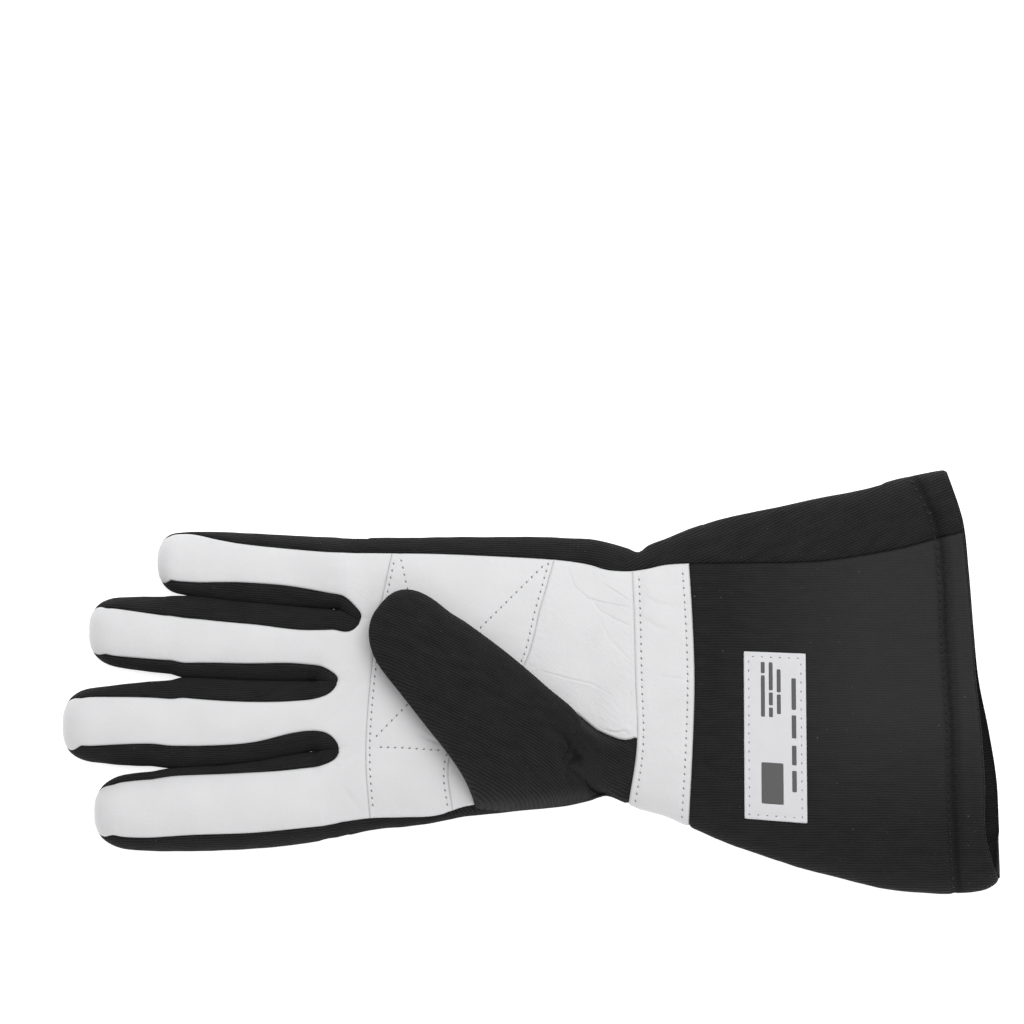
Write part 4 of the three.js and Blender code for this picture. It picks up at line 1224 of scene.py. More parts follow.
# Wrinkles of the leather, as points seen from above, with the depth and half width of each
WRINKLES: list[tuple[Panel, Line, float, float]] = [
    (Panel.HEEL, [(12.4, 39.8), (14.4, 33.2), (19.5, 28.7), (25.0, 27.2), (34.2, 25.6)], 0.35, 0.3),
    (Panel.HEEL, [(20.5, 29.2), (23.0, 24.8), (29.1, 21.3), (34.9, 18.8)], 0.3, 0.3),
    (Panel.HEEL, [(24.5, 33.8), (31.1, 29.7), (34.6, 27.2)], 0.3, 0.3),
    (Panel.HEEL, [(23.0, 22.1), (26.5, 15.0), (35.2, 5.9)], 0.12, 0.4),
    (Panel.HEEL, [(2.8, 3.9), (11.9, 1.3), (20.5, -0.7), (28.0, -4.8)], 0.22, 0.35),
    (Panel.HEEL, [(25.0, -16.6), (28.5, -17.6), (32.0, -17.0), (33.6, -18.4)], 0.5, 0.35),
    (Panel.HEEL, [(30.8, -16.2), (32.6, -16.8), (33.4, -18.2)], 0.3, 0.3),
    (Panel.PATCH, [(-41.0, -16.5), (-36.0, -19.5), (-31.5, -21.0)], 0.4, 0.6),
    (Panel.LEATHER, [(-66.0, -35.5), (-58.0, -45.0)], 0.3, 0.7),
    (Panel.LEATHER, [(-58.5, -24.0), (-66.0, -27.5), (-74.0, -33.0)], 0.25, 0.8),
    (Panel.BAND, [(38.5, 30.0), (43.0, 27.0), (48.0, 26.5)], 0.2, 0.6),
    (Panel.BAND, [(38.0, 22.5), (43.5, 18.5), (47.0, 18.2)], 0.2, 0.6),
    (Panel.BAND, [(44.0, 2.0), (54.0, 1.0)], 0.15, 0.6),
]

# Folds where the thumb leaves the palm, as points seen from above, with the depth and half width of each
FOLDS: list[tuple[Line, float, float]] = [
    ([(15.6, -26.0), (14.9, -23.9), (13.5, -22.2), (11.0, -19.4), (6.5, -14.5)], 2.3, 1.9),
    ([(15.4, -26.2), (12.4, -28.0), (11.7, -30.5), (12.2, -33.0), (13.6, -36.0)], 1.9, 1.2),
    ([(24.2, -39.0), (20.0, -36.8), (17.0, -34.5), (13.2, -30.0)], 2.8, 1.1),
]

# Lines sewn across the patch, as points seen from above
QUILTING: list[Line] = [
    [(-45.7, 44.3), (-44.6, 39.8), (-43.6, 34.9), (-42.6, 31.0), (-41.2, 26.0)],
    [(5.2, 41.4), (-18.6, 17.9), (-43.8, -8.6), (-54.2, -19.2)],
    [(-54.6, -22.4), (-44.0, -22.7), (-31.5, -23.6)],
]


# How fast the painted shade of the folds pales, by the half width beside a fold and by its length
PALES_BESIDE = 0.55
PALES_ALONG = 0.7
# The share of its length at which a fold has no depth left, just past its last point
FOLD_ENDS = 1.02


def fold_depth(x: Array, y: Array) -> Array:
    """Return the depth of the folds beside the thumb: soft valleys, each fading to its last point."""
    depth = np.zeros_like(x)
    for line, deep, width in FOLDS:
        away, along = distance_to_line(x, y, line)
        depth += deep * np.sqrt(np.clip(FOLD_ENDS - along, 0, 1)) * bell(away, width)
    return depth


def fold_shade(x: Array, y: Array) -> Array:
    """Return a distance in mm that is small in the folds, where the knit gets painted shade as beside a
    seam.
    """
    shade = np.full_like(x, FAR)
    for line, _, width in FOLDS:
        away, along = distance_to_line(x, y, line)
        shade = np.minimum(shade, PALES_BESIDE * away / width + PALES_ALONG * along)
    return shade


@dataclass(frozen=True)
class RibLay:
    """How the ribs lie on the thumb and beside it: at a slant, and bent at the folds."""

    slant: float = 27.0
    bend: float = 3.5
    bend_x: float = 17.0
    bend_reach: float = 7.0
    fall: float = 0.3

    def cloth(self, x: Array, y: Array, z: Array) -> Array:
        """Return cloth coordinates, which are the places seen from above turned by the slant.

        For the second one a hyperbolic tangent of x is added to y, and a share of the height is
        taken off.
        """
        angle = np.radians(self.slant)
        bent = y + self.bend * np.tanh((x - self.bend_x) / self.bend_reach)
        along = x * np.cos(angle) - y * np.sin(angle)
        around = x * np.sin(angle) + bent * np.cos(angle) - self.fall * z
        return np.stack([along, around], -1)


LAY = RibLay()


@dataclass
class Seams:
    """Where the glove is sewn, and how deep the thread sinks in.

    A row is a crossing line, how far beside it the stitches run, and where they start and end across.
    """

    form: HandForm
    leather_rows: tuple = (
        ("patch_edge", 1.4, 0.065, 0.94),
        ("patch_arc", -1.5, 0.075, 0.97),
        ("band_left", 2.2, 0.08, 0.985),
        ("band_right", -2.2, 0.12, 0.985),
    )
    hem_row: tuple = ("hem_stitch", -0.6, 0.006, 0.994)
    row_points: int = 60
    channel_depth: float = 0.14
    channel_width: float = 0.9

    def beside(self, line: str, offset: float, first: float, last: float) -> Line:
        """Return a line of stitches beside a crossing line, between two places across."""
        across = np.linspace(first, last, self.row_points)
        x = self.form.line(LINES[line], across) + offset
        y = mix(self.form.edge("pinky", x), self.form.edge("index", x), across)
        return list(zip(x, y))

    def on_leather(self) -> list[Line]:
        """Return the lines of stitches on the leather, seen from above."""
        return [*(self.beside(*row) for row in self.leather_rows), *QUILTING]

    def on_hem(self) -> Line:
        """Return the hem's line of stitches."""
        return self.beside(*self.hem_row)


@dataclass
class Panels:
    """The sewn panels of the skin, as walls of knit and leather, with their folds."""

    skin: Skin
    seams: Seams
    knit_wall: float = 1.6
    leather_wall: float = 1.3
    hem_wall: float = 2.8
    seam_depth: float = 0.8
    leather_seam: float = 0.38
    seam_clear: float = 2.5
    facing_up: float = 0.15
    knit_lumps: tuple = ((0.24, 26, 6), (0.09, 9, 7))
    leather_lumps: tuple = ((0.10, 18, 3), (0.05, 7, 4))
    pucker: tuple = ((0.12, 3.0, 5),)
    pucker_reach: float = 4.0
    shoulder: float = 0.8
    shoulder_reach: float = 6.0
    least_upright: float = 0.3
    steepest: float = 2.0
    hem_channel: tuple[float, float] = (0.5, 0.25)
    hem_channel_width: float = 0.8
    # Painted shade in the hem's groove: how far beside the stitches its line runs, its least distance there,
    # and how fast it pales
    hem_shade_at: float = 1.4
    hem_shade_least: float = 0.1
    hem_shade_slope: float = 0.32
    thumb_x: tuple[float, float] = (-30.0, 40.0)
    cuff_corner: tuple[float, float] = (32.0, 30.0)
    cuff_slant: float = -25.0
    web_ridge: tuple[float, float] = (11.5, 28.5)
    web_slope: float = 0.5
    web_slope_to_palm: float = 0.9
    web_x: tuple[float, float] = (-14.0, 37.5)
    web_y: tuple[float, float] = (-39.0, -3.0)
    web_ease: float = 14.0
    shaped: Array = field(init=False)

    def build(self) -> None:
        """Build every panel."""
        self.shaped = self.skin.points.copy()
        for number, panel in enumerate(PANELS):
            chosen = self.skin.panel == number
            quads = self.skin.quads[chosen]
            leather = panel in LEATHER_PANELS
            points, away = self.folded(panel, quads, leather)
            thick = np.full(len(points), self.leather_wall if leather else self.knit_wall)
            thick[np.unique(self.skin.quads[chosen & self.skin.hem])] = self.hem_wall
            cloth = self.cloth_of(panel, quads, self.skin.cloth[chosen])
            piece = walled(f"{panel.value}_sewn", points, self.skin.normals, quads, cloth, thick, away)
            slot = "leather_white" if leather else "knit_black"
            piece.build(FINISHES.get(panel, KNIT), slot, (panel.value,))

    def cloth_of(self, panel: Panel, quads: Array, cloth: Array) -> Array:
        """Return the cloth coordinates of a panel's corners.

        The gauntlet and the leather are cut straight, so theirs are x and y. The knit beside the thumb
        and beside the cuff runs at a slant.
        """
        place = self.skin.points[quads]
        if panel is Panel.GAUNTLET or panel in LEATHER_PANELS:
            return place[..., :2]
        if panel is not Panel.BACK:
            return cloth
        x, y, z = (place[..., k] for k in range(3))
        high = z > ABOVE_WAIST
        beside_thumb = (high & (x > self.thumb_x[0]) & (x < self.thumb_x[1]) & (y < 0)).all(1)
        beside_cuff = (high & (x > self.cuff_corner[0]) & (y > self.cuff_corner[1])).all(1)
        cloth = np.where(beside_cuff[:, None, None], rotated(x, y, self.cuff_slant), cloth)
        return np.where(beside_thumb[:, None, None], LAY.cloth(x, y, z), cloth)

    def folded(self, panel: Panel, quads: Array, leather: bool) -> tuple[Array, Array]:
        """Shape one panel: borders drawn down into the seams, lumps, wrinkles and stitch channels.

        A border sinks by depth times exp(-(away / width)^2), a wrinkle or channel likewise by the
        distance from its line, and the lumps are sine waves.

        Args:
            panel: which panel.
            quads: its cells.
            leather: whether it is leather.

        Returns:
            The skin's points with this panel's moved, and each point's distance to the seam, which is
            made less in the hem's groove and in the folds so that they get painted shade too.
        """
        skin = self.skin
        used = np.unique(quads)
        a, _, border = border_of(quads, len(skin.points))
        place = skin.points[used]
        near, _ = nearest_distance(place, skin.points[np.unique(a[border])])
        x, y, z = place.T
        up = skin.normals[used, 2] > self.facing_up
        seam = self.leather_seam if leather else self.seam_depth
        rise = -seam * bell(near, seam)
        free = smoothstep(near / self.seam_clear)
        rise += free * waves(x, y + TILT * z, self.leather_lumps if leather else self.knit_lumps)
        if leather:
            rise += bell(near, self.pucker_reach) * free * waves(x, y, self.pucker)
        for where, line, depth, width in WRINKLES:
            if where is panel:
                rise -= up * free * self.crease(x, y, line, depth, width)
        for line in self.seams.on_leather() if leather else []:
            away, _ = distance_to_line(x, y, line)
            rise -= up * self.seams.channel_depth * bell(away, self.seams.channel_width)
        if panel in HEMMED_PANELS:
            away, _ = distance_to_line(x, y, self.seams.on_hem())
            rise -= np.where(up, *self.hem_channel) * bell(away, self.hem_channel_width)
        moved = skin.points.copy()
        moved[used] += skin.normals[used] * rise[:, None]
        if panel is Panel.BACK:
            lift = self.web_lift(x, y, z, near)
            moved[used, 2] += np.where(up & (z > ABOVE_WAIST), lift, 0)
        moved[:, 2] = np.maximum(moved[:, 2], 0.0)
        self.shaped[used] = moved[used]
        # Painted shade in the groove beside the hem's stitches
        if panel in HEMMED_PANELS:
            away, _ = distance_to_line(x, y, self.seams.beside("hem_stitch", self.hem_shade_at, 0.0, 1.0))
            near = np.minimum(near, np.where(up, self.hem_shade_least + self.hem_shade_slope * away, FAR))
        # Painted shade in the folds beside the thumb
        if panel is Panel.BACK:
            near = np.minimum(near, np.where(up, fold_shade(x, y), FAR))
        distance = np.full(len(skin.points), FAR)
        distance[used] = near
        return moved, distance

    def web_lift(self, x: Array, y: Array, z: Array, near: Array) -> Array:
        """Return how far the knit beside the thumb is lifted.

        It is a tent: its ridge lies inside the thumb, and it slopes down to the wrist band and to the
        palm, and ends at the index edge. (h + sqrt(h^2 + 4)) / 2 blends the tent, h above the palm, with
        the palm. The folds beside the thumb sink into it.
        """
        ridge_x, ridge_z = self.web_ridge
        past = x - ridge_x
        tent = ridge_z - np.where(past > 0, self.web_slope * past, -self.web_slope_to_palm * past)
        high = tent - z
        lift = (high + np.sqrt(high ** 2 + 4)) / 2
        lift = lift * smoothstep(near / 3.0) * smoothstep((y - self.web_y[0]) / self.web_ease)
        inside = (x > self.web_x[0]) & (x < self.web_x[1]) & (y < self.web_y[1])
        return inside * (lift - fold_depth(x, y))

    def crease(self, x: Array, y: Array, line: Line, depth: float, width: float) -> Array:
        """Return a wrinkle's depth: a sharp valley along the line, with a soft shoulder on its left side.

        The valley is exp(-(away / width)^2), the shoulder -0.8 exp(-away / (6 width)).
        """
        away, along = distance_to_line(x, y, line)
        (x0, y0), (x1, y1) = line[0], line[-1]
        past = ((x1 - x0) * (y - y0) - (y1 - y0) * (x - x0)) / np.hypot(x1 - x0, y1 - y0)
        left = smoothstep(past / 2 + 0.5)
        fade = np.sqrt(np.clip(np.sin(np.pi * np.clip(along, 0.02, 0.98)), 0, 1))
        shoulder = left * np.exp(-away / (self.shoulder_reach * width))
        return depth * fade * (bell(away, width) - self.shoulder * shoulder)

    def drop(self, xy: Array, side: Side) -> tuple[Array, Array]:
        """Lay places seen from above on the shaped skin.

        Args:
            xy: (N, 2) places.
            side: palm or back.

        Returns:
            The points on the skin, and the outward normals there.
        """
        chosen = self.skin.palm_side if side is Side.PALM else ~self.skin.palm_side
        used = np.unique(self.skin.quads[chosen])
        normals = vertex_normals(self.shaped, self.skin.quads)
        _, index = nearest_distance(xy, self.shaped[used, :2])
        base, normal = self.shaped[used][index], normals[used][index]
        upright = np.where(np.abs(normal[:, 2:]) < self.least_upright, self.least_upright, normal[:, 2:])
        slope = np.clip(normal[:, :2] / upright, -self.steepest, self.steepest)
        z = base[:, 2] - ((xy - base[:, :2]) * slope).sum(1)
        return np.column_stack([xy, z]), normal


@dataclass(frozen=True)
class Threads:
    """Rows of stitches: each a short arched thread whose ends sink in."""

    pitch: float = 2.4
    length: float = 1.7
    radius: float = 0.2
    arch: float = 0.22
    sink: float = 0.1
    rings: int = 6
    sides: int = 6
    slant: float = 0.0
    end_gap: float = 0.3
    half_look: float = 0.4

    def along(self, line: Line | Array, shift: float = 0.0) -> tuple[Array, Array]:
        """Return the middles of the stitches of a line, and their directions, seen from above."""
        points = np.asarray(line, float)
        at = np.arange(self.pitch * (0.5 + shift), lengths_along(points)[-1] - self.end_gap, self.pitch)
        step = unit(on_line(points, at + self.half_look) - on_line(points, at - self.half_look))
        return on_line(points, at), rotated(step[:, 0], step[:, 1], self.slant)

    def piece(self, name: str, places: Array, directions: Array, normals: Array) -> Piece:
        """Make all stitches as one piece.

        A stitch is a tube of radius times sqrt(1 - t^4) along t from -1 to 1, lifted by
        arch times (1 - t^2) less the sink.

        Args:
            name: the piece's name.
            places: (N, 3) middles.
            directions: (N, 2) directions seen from above.
            normals: (N, 3) outward normals.

        Returns:
            The piece.
        """
        along = np.column_stack([directions, np.zeros(len(directions))])
        along = unit(along - normals * (along * normals).sum(1)[:, None])
        across = np.cross(normals, along)
        t = np.linspace(-1, 1, self.rings)
        angle = 2 * np.pi * np.arange(self.sides) / self.sides
        thick = self.radius * np.sqrt(np.maximum(0, 1 - t ** 4))
        lift = self.arch * (1 - t ** 2) - self.sink
        centre = places[:, None] + along[:, None] * (t * self.length / 2)[None, :, None]
        centre = centre + normals[:, None] * lift[None, :, None]
        ring = (across[:, None, None] * np.cos(angle)[None, None, :, None]
                + normals[:, None, None] * np.sin(angle)[None, None, :, None])
        grid = centre[:, :, None] + ring * thick[None, :, None, None]
        each = self.rings * self.sides
        index = np.arange(len(places) * each).reshape(len(places), self.rings, self.sides)
        index[:, 0] = index[:, 0, :1]
        index[:, -1] = index[:, -1, :1]
        turned = np.roll(index, -1, axis=2)
        cells = np.stack([index[:, :-1], turned[:, :-1], turned[:, 1:], index[:, 1:]], -1)
        u = np.broadcast_to((t * self.length / 2)[None, :, None], index.shape)
        v = np.broadcast_to((angle / (2 * np.pi))[None, None], index.shape)
        uv = np.stack([u, v], -1)
        cloth = np.stack([uv[:, :-1], uv[:, :-1], uv[:, 1:], uv[:, 1:]], 3)
        points, cells, _ = compact(grid.reshape(-1, 3), cells.reshape(-1, 4))
        return Piece(name, points, cells, cloth.reshape(-1, 4, 2))


@dataclass
class Sewing:
    """Every row of stitches: white on the leather with a dark mark between as painted shade of the needle
    hole, black on the knit.
    """

    panels: Panels
    seams: Seams
    white: Threads = Threads(pitch=2.47, length=1.3, radius=0.22, arch=0.10)
    painted_hole_shade: Threads = Threads(pitch=2.47, length=1.25, radius=0.41, arch=0.02, sink=0.24, rings=5, slant=24.0)
    black: Threads = Threads(pitch=3.0, length=2.3, radius=0.3, arch=0.35, sink=0.08, slant=16.0)

    def build(self) -> None:
        """Build the threads."""
        leather, hem = self.seams.on_leather(), [self.seams.on_hem()]
        self.rows("leather_thread", leather, self.white, 0.0, WHITE_THREAD, "leather_white", Side.PALM)
        # Dark grey marks between the white stitches: painted shade of the needle holes
        self.rows("leather_hole_painted_shade", leather, self.painted_hole_shade, 0.5, GREY_THREAD_AND_HOLE_SHADE, "thread_black", Side.PALM)
        self.rows("hem_thread", hem, self.black, 0.0, BLACK_THREAD, "thread_black", Side.PALM)
        self.rows("hem_thread_back", hem, self.black, 0.0, BLACK_THREAD, "thread_black", Side.BACK)

    def rows(self, name: str, lines: list[Line], threads: Threads, shift: float, finish: Finish, slot: str,
             side: Side) -> None:
        """Build the stitches of some lines as one piece.

        Args:
            name: the piece's name.
            lines: the lines, seen from above.
            threads: the kind of stitch.
            shift: how far along the pitch the first one starts.
            finish: its finish.
            slot: its material slot.
            side: palm or back.
        """
        found = [threads.along(line, shift) for line in lines]
        places, normals = self.panels.drop(np.concatenate([middle for middle, _ in found]), side)
        directions = np.concatenate([direction for _, direction in found])
        piece = threads.piece(name, places, directions, normals)
        piece.points[:, 2] = np.maximum(piece.points[:, 2], 0.0)
        piece.build(finish, slot)


@dataclass
class Thumb:
    """The thumb, a tube from the index edge that folds over the palm."""

    cap: float = 18.0
    cap_square: float = 2.5
    steps: int = 150
    step_crowding: float = 1.25
    sides: int = 110
    square: float = 0.85
    root_bulge: float = 1.6
    root_reach: float = 1.4
    lumps: tuple = ((0.25, 22, 11), (0.08, 8, 12))
    sections: dict = field(default_factory=lambda: {
        "left_x": [-19.5, -20.0, -21.7, -25.0, -30.0, -36.8, -45.5, -51.0, -61.1],
        "left_y": [-44.6, -41.8, -37.0, -30.7, -23.6, -15.0, -3.9, 3.0, 16.6],
        "right_x": [24.2, 19.0, 16.6, 16.6, 4.9, -8.9, -22.2, -30.0, -43.4],
        "right_y": [-39.6, -35.6, -26.5, -12.6, -1.4, 10.3, 20.2, 25.4, 37.6],
        "low": [3.5, 4.5, 9.0, 17.2, 17.2, 17.2, 17.2, 17.2, 17.4],
        "high": [9.0, 21.0, 27.5, 30.8, 31.6, 31.2, 30.6, 30.2, 29.4],
    })

    def tube(self) -> Array:
        """Return the points: a rounded section between the two sides, closed by a rounded cap.

        The top has lumps, and the folds sink into it.
        """
        last = len(self.sections["low"]) - 1
        u = 1 - (1 - np.linspace(0, 1, self.steps)) ** self.step_crowding

        def at(name: str) -> Array:
            return curve(list(range(last + 1)), self.sections[name], u * last)

        left = np.stack([at("left_x"), at("left_y")], -1)
        right = np.stack([at("right_x"), at("right_y")], -1)
        half = (right - left) / 2
        centre = left + half
        to_tip = np.clip(np.linalg.norm(centre - centre[-1], axis=1) / self.cap, 0, 1)
        end = (1 - (1 - to_tip) ** self.cap_square) ** (1 / self.cap_square)
        half = half * end[:, None]
        tall = (at("high") - at("low")) / 2 * end
        middle = (at("low") + at("high")) / 2
        angle = 2 * np.pi * np.arange(self.sides) / self.sides
        c, e = (np.sign(v) * np.abs(v) ** self.square for v in (np.cos(angle), np.sin(angle)))
        grid = np.empty((self.steps, self.sides, 3))
        grid[..., :2] = centre[:, None] + half[:, None] * c[None, :, None]
        at_root = 1 - smoothstep(u * last / self.root_reach)
        grid[..., 1] -= self.root_bulge * at_root[:, None] * (1 - c ** 2)[None]
        grid[..., 2] = middle[:, None] + tall[:, None] * e[None]
        x, y, z = (grid[..., k] for k in range(3))
        top = smoothstep(e)[None]
        grid[..., 2] += (waves(x, y + TILT * z, self.lumps) - fold_depth(x, y)) * top
        return grid

    def build(self) -> None:
        """Build the tube, with its base closed by a fan of triangles."""
        grid = self.tube()
        grid_cloth = LAY.cloth(*(grid[..., k] for k in range(3)))
        index = np.arange(self.steps * self.sides).reshape(self.steps, self.sides)
        index[-1] = index[-1, 0]
        turned = np.roll(index, -1, axis=1)
        cells = np.stack([index[:-1], index[1:], turned[1:], turned[:-1]], -1).reshape(-1, 4)
        around = np.roll(grid_cloth, -1, axis=1)
        cloth = np.stack([grid_cloth[:-1], grid_cloth[1:], around[1:], around[:-1]], 2).reshape(-1, 4, 2)
        every = np.concatenate([grid.reshape(-1, 3), grid[:1].mean(1)])
        # Painted shade in the folds, on the top of the tube
        shade = np.where(every[:, 2] > ABOVE_WAIST, fold_shade(every[:, 0], every[:, 1]), FAR)
        fan = np.stack([index[0], turned[0], np.full(self.sides, len(every) - 1)], -1)
        cells = np.concatenate([cells, fan[:, [0, 1, 2, 2]]])
        cloth = np.concatenate([cloth, np.zeros((self.sides, 4, 2))])
        points, cells, kept = compact(every, cells)
        Piece("thumb_sewn", points, cells, cloth, shade[kept]).build(KNIT, "knit_black", ("thumb",))


@dataclass
class Label:
    """The woven label on the gauntlet: a thin sheet sewn down all round, with plain printed bars."""

    panels: Panels
    corners: Line = field(default_factory=lambda: [(73.2, 10.4), (94.2, 9.6), (94.8, -48.6), (73.5, -47.0)])
    width: float = 21.0
    length: float = 58.0
    lift: float = 0.75
    wall: float = 0.45
    stitch_inset: float = 1.5
    stitch_groove: float = 0.16
    stitch_groove_width: float = 0.6
    lumps: tuple = ((0.10, 9, 21),)
    sheet_grid: tuple[int, int] = (36, 96)
    bar_grid: tuple[int, int] = (8, 20)
    bar_wall: float = 0.05
    bar_lift: float = 0.06
    thread_drop: float = 0.14
    thread: Threads = Threads(pitch=3.1, length=0.9, arch=0.06, sink=0.04, rings=5)
    lines: list = field(default_factory=lambda: [
        (0.28, 0.325, [(0.06, 0.12), (0.14, 0.38)]),
        (0.41, 0.455, [(0.06, 0.22), (0.24, 0.31), (0.33, 0.38)]),
        (0.54, 0.585, [(0.10, 0.23), (0.25, 0.36)]),
        (0.78, 0.835, [(0.15, 0.33), (0.37, 0.50), (0.55, 0.66), (0.70, 0.82)]),
        (0.28, 0.62, [(0.66, 0.90)]),
    ])

    def spot(self, u: Array, v: Array) -> Array:
        """Return places on the label seen from above, u across and v along, by its four corners."""
        a, b, c, d = (np.asarray(corner) for corner in self.corners)
        return mix(mix(a, b, u[..., None]), mix(d, c, u[..., None]), v[..., None])

    def surface(self, u: Array, v: Array, extra: float = 0.0) -> Array:
        """Return points on the label: above the gauntlet, lower at the sewn edge, a little wavy."""
        xy = self.spot(u, v)
        edge = np.minimum(np.minimum(u, 1 - u) * self.width, np.minimum(v, 1 - v) * self.length)
        under, _ = self.panels.drop(xy.reshape(-1, 2), Side.PALM)
        z = under[:, 2].reshape(u.shape) + self.lift + extra
        z = z - self.stitch_groove * bell(edge - self.stitch_inset, self.stitch_groove_width)
        z = z + waves(xy[..., 0], xy[..., 1], self.lumps)
        return np.concatenate([xy, z[..., None]], -1)

    def patch(self, name: str, box: tuple[float, float, float, float], count: tuple[int, int], wall: float,
              extra: float) -> Piece:
        """Return a thin closed sheet over a part of the label."""
        u, v = np.meshgrid(np.linspace(box[0], box[1], count[0]), np.linspace(box[2], box[3], count[1]))
        points = self.surface(u, v, extra)
        quads = grid_cells(np.arange(u.size).reshape(u.shape)).reshape(-1, 4)
        flat = points.reshape(-1, 3)
        normals = vertex_normals(flat, quads)
        return walled(name, flat, normals, quads, flat[:, :2][quads], np.full(len(flat), wall))

    def build(self) -> None:
        whole = self.patch("label_sheet", (0, 1, 0, 1), self.sheet_grid, self.wall, 0.0)
        sheet = whole.build(WOVEN_LABEL, "label_white", ("label",))
        bars = [(low, high, start, stop) for low, high, words in self.lines for start, stop in words]
        for number, box in enumerate(bars):
            bar = self.patch(f"label_bar_{number + 1}", box, self.bar_grid, self.bar_wall, self.bar_lift)
            bar.build(PRINT, "thread_black")
        s, t = self.stitch_inset / self.width, self.stitch_inset / self.length
        loop = self.spot(np.array([s, 1 - s, 1 - s, s, s]), np.array([t, t, 1 - t, 1 - t, t]))
        middle, direction = self.thread.along(loop)
        under, normals = self.panels.drop(middle, Side.PALM)
        under[:, 2] += self.lift - self.thread_drop
        stitches = self.thread.piece("label_thread", under, direction, normals)
        stitches.build(GREY_THREAD_AND_HOLE_SHADE, "thread_black")


@dataclass
class Badge:
    """The embroidered badge on the back: a black border, a red field, and plain white bars."""

    border: float = 1.5
    corner: float = 1.5
    corner_points: int = 7
    thickness: float = 1.0
    field_gap: float = 0.2
    field_heights: tuple[float, float] = (0.12, 0.95)
    pillow: float = 0.3
    pillow_reach: float = 0.7
    slab_grid: tuple[int, int] = (24, 60)
    cord_steps: int = 420
    cord_sides: int = 16
    bars: int = 5
    bar_half: float = 1.6
    bar_inset: float = 3.0
    bar_height: float = 0.6
    bar_span: tuple[float, float] = (0.14, 0.86)

    def outline(self, inset: float, count: int) -> Array:
        """Return the points round a rectangle with round corners, drawn in by inset."""
        radius = self.corner
        quarter = np.linspace(0, np.pi / 2, count)
        turns = np.concatenate([quarter + k * np.pi / 2 for k in range(4)])
        signs = np.repeat([[1, 1], [-1, 1], [-1, -1], [1, -1]], count, axis=0)
        centre = (np.asarray(BADGE_LOW) + BADGE_HIGH) / 2
        reach = (np.asarray(BADGE_HIGH) - BADGE_LOW) / 2 - inset - radius
        return centre + signs * reach + radius * np.stack([np.cos(turns), np.sin(turns)], -1)

    def cord(self) -> Piece:
        """Return the border: a circle of points carried round the outline."""
        middle = self.outline(self.border / 2, self.corner_points)
        closed = np.vstack([middle, middle[:1]])
        around = lengths_along(closed)[-1]
        at = np.linspace(0, around, self.cord_steps, endpoint=False)
        path = on_line(closed, at)
        tangent = unit(np.roll(path, -1, axis=0) - np.roll(path, 1, axis=0))
        outward = np.stack([tangent[:, 1], -tangent[:, 0]], -1)
        angle = 2 * np.pi * np.arange(self.cord_sides) / self.cord_sides
        grid = np.empty((self.cord_steps, self.cord_sides, 3))
        grid[..., :2] = path[:, None] + outward[:, None] * (self.border / 2 * np.cos(angle))[None, :, None]
        grid[..., 2] = self.thickness / 2 * (1 + np.sin(angle))[None]
        index = np.arange(self.cord_steps * self.cord_sides).reshape(self.cord_steps, self.cord_sides)
        on = np.roll(index, -1, axis=0)
        cells = np.stack([index, np.roll(index, -1, axis=1), np.roll(on, -1, axis=1), on], -1).reshape(-1, 4)
        v = np.concatenate([at, [around]])[:, None] + np.zeros(self.cord_sides)
        u = np.broadcast_to((angle / 2)[None], v.shape)
        uv = np.stack([u, v], -1)
        uv_next = np.roll(uv, -1, axis=1)
        cloth = np.stack([uv[:-1], uv_next[:-1], uv_next[1:], uv[1:]], 2).reshape(-1, 4, 2)
        return Piece("badge_border_sewn", grid.reshape(-1, 3), cells[:, ::-1], cloth[:, ::-1])

    def build(self) -> None:
        """Build the border as a raised cord and the field and bars as pillowed slabs."""
        self.cord().build(BLACK_THREAD, "thread_black", ("badge_border",))
        inside = self.border + self.field_gap
        low, high = np.asarray(BADGE_LOW) + inside, np.asarray(BADGE_HIGH) - inside
        self.slab("badge_field_sewn", low, high, self.field_heights, RED_THREAD, "thread_red",
                  ("badge_field",))
        for number, share in enumerate(np.linspace(*self.bar_span, self.bars)):
            y = mix(low[1], high[1], share)
            first = np.array([low[0] + self.bar_inset, y - self.bar_half])
            last = np.array([high[0] - self.bar_inset, y + self.bar_half])
            heights = (0.0, self.bar_height)
            self.slab(f"badge_bar_{number + 1}", first, last, heights, WHITE_THREAD, "label_white")

    def slab(self, name: str, low: Array, high: Array, heights: tuple[float, float], finish: Finish,
             slot: str, replaces: tuple[str, ...] = ()) -> None:
        """Build a slab whose lower face, towards the table, is pillowed at its edges.

        Args:
            name: the piece's name.
            low: the corner with the least x and y.
            high: the opposite corner.
            heights: of the lower and the upper face.
            finish: its finish.
            slot: its material slot.
            replaces: the CAD nodes that it stands for.
        """
        bottom, top = heights
        u, v = np.meshgrid(*(np.linspace(0, 1, count) for count in self.slab_grid))
        x, y = mix(low[0], high[0], u), mix(low[1], high[1], v)
        edge = np.minimum(np.minimum(x - low[0], high[0] - x), np.minimum(y - low[1], high[1] - y))
        z = bottom + self.pillow * (1 - smoothstep(edge / self.pillow_reach))
        points = np.stack([x, y, z], -1).reshape(-1, 3)
        quads = grid_cells(np.arange(u.size).reshape(u.shape)).reshape(-1, 4)
        down = np.tile([0.0, 0.0, -1.0], (len(points), 1))
        thick = np.full(len(points), top - bottom)
        walled(name, points, down, quads, points[:, :2][quads], thick).build(finish, slot, replaces)


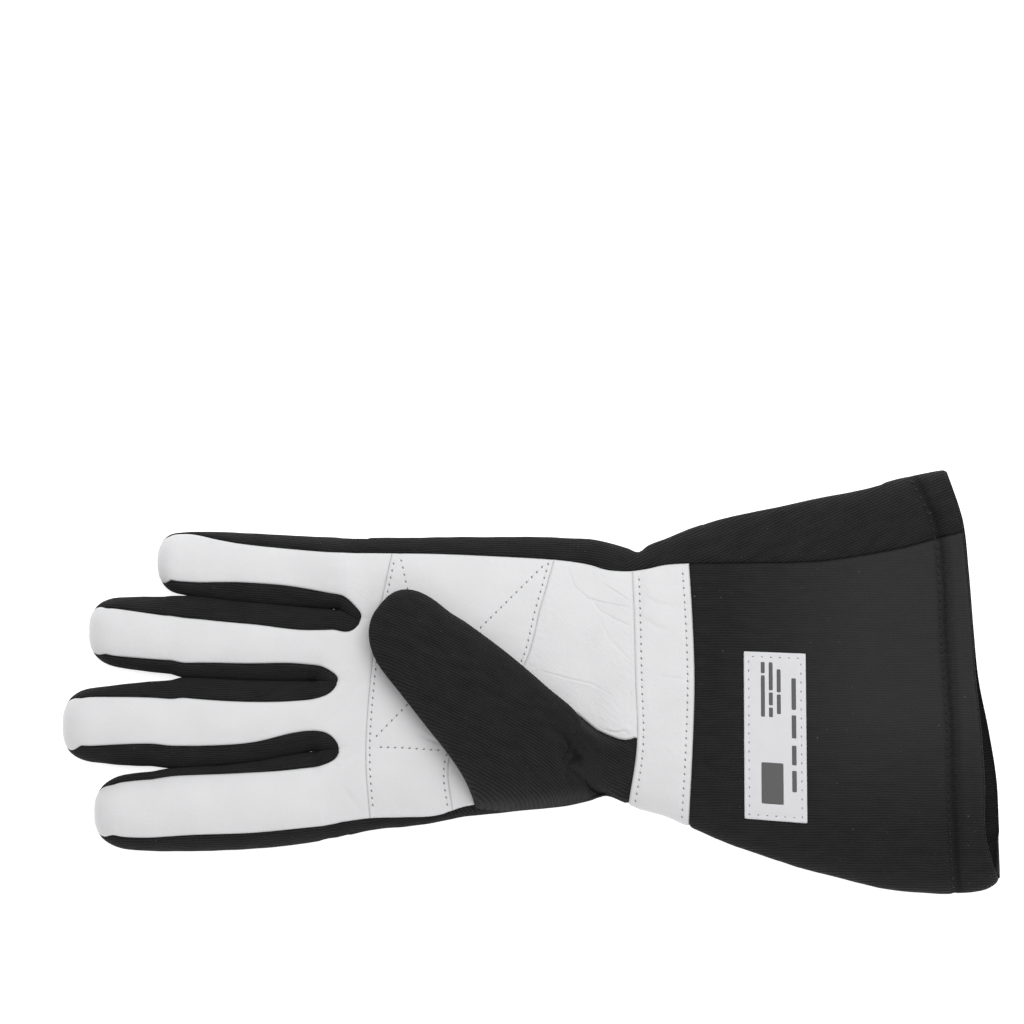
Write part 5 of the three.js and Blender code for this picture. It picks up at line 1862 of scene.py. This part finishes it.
@dataclass
class Studio:
    """The pale floor, the soft lights and the camera straight above."""

    centre_x: float = -6.9
    centre_y: float = 58.65
    frame_width: float = 353.28
    half_floor: float = 9.0
    camera_height: float = 0.8
    sky: float = 0.42

    def build(self) -> None:
        """Make the floor, the lights, the world and the camera."""
        floor = bpy.data.meshes.new("floor")
        s = self.half_floor
        floor.from_pydata([(-s, -s, 0), (s, -s, 0), (s, s, 0), (-s, s, 0)], [], [(0, 1, 2, 3)])
        item = bpy.data.objects.new("floor", floor)
        bpy.context.scene.collection.objects.link(item)
        floor.materials.append(self.paper())
        self.light("key", (0.1, 0.42, 1.0), power=8.5, size=0.9)
        self.light("fill", (0.5, -0.7, 0.9), power=2.4, size=1.0)
        world = bpy.data.worlds.new("studio")
        world.use_nodes = True
        background = world.node_tree.nodes["Background"]
        background.inputs["Color"].default_value = (1, 1, 1, 1)
        graph = Graph(world.node_tree)
        seen = graph.add("ShaderNodeLightPath", {}).outputs["Is Camera Ray"]
        graph.plug(background.inputs["Strength"], graph.ramp(seen, 0.0, 1.0, self.sky, 1.0))
        bpy.context.scene.world = world
        data = bpy.data.cameras.new("camera")
        data.type = "ORTHO"
        data.ortho_scale = self.frame_width * MM
        data.clip_start = 0.01
        data.clip_end = 20
        camera = bpy.data.objects.new("camera", data)
        camera.location = (self.centre_x * MM, self.centre_y * MM, self.camera_height)
        bpy.context.scene.collection.objects.link(camera)
        bpy.context.scene.camera = camera
        bpy.context.scene.view_settings.view_transform = "Standard"

    def paper(self) -> bpy.types.Material:
        """Return the floor's material: white paper with a trace of tooth, which glows: painted light that
        washes out the glove's shadows on it and lights its undersides.
        """
        material = bpy.data.materials.new("floor_paper")
        material.use_nodes = True
        graph = Graph(material.node_tree)
        shader = material.node_tree.nodes["Principled BSDF"]
        place = graph.add("ShaderNodeTexCoord", {}).outputs["Object"]
        tooth = graph.noise(place, 900.0)
        shader.inputs["Base Color"].default_value = (0.95, 0.95, 0.95, 1)
        # The glow is painted light: it washes out the glove's shadows on the floor
        shader.inputs["Emission Color"].default_value = (1, 1, 1, 1)
        shader.inputs["Emission Strength"].default_value = 0.75
        shader.inputs["Roughness"].default_value = 0.9
        bump = graph.add("ShaderNodeBump", {"Strength": 0.1, "Distance": 0.0001, "Height": tooth})
        graph.plug(shader.inputs["Normal"], bump.outputs[0])
        return material

    def light(self, name: str, place: tuple[float, float, float], power: float, size: float) -> None:
        """Make a square soft light that faces the glove."""
        data = bpy.data.lights.new(name, "AREA")
        data.energy = power
        data.size = size
        item = bpy.data.objects.new(name, data)
        item.location = place
        x, y, z = np.array(place) / np.linalg.norm(place)
        item.rotation_euler = (np.arccos(z), 0, np.arctan2(y, x) + np.pi / 2)
        bpy.context.scene.collection.objects.link(item)


def main() -> None:
    """Build the glove and the studio."""
    logging.basicConfig(level=logging.INFO, format="%(message)s")
    Studio().build()
    form = HandForm()
    seams = Seams(form)
    panels = Panels(Skin(form), seams)
    panels.build()
    Sewing(panels, seams).build()
    Thumb().build()
    Label(panels).build()
    Badge().build()


if __name__ == "__main__":
    main()
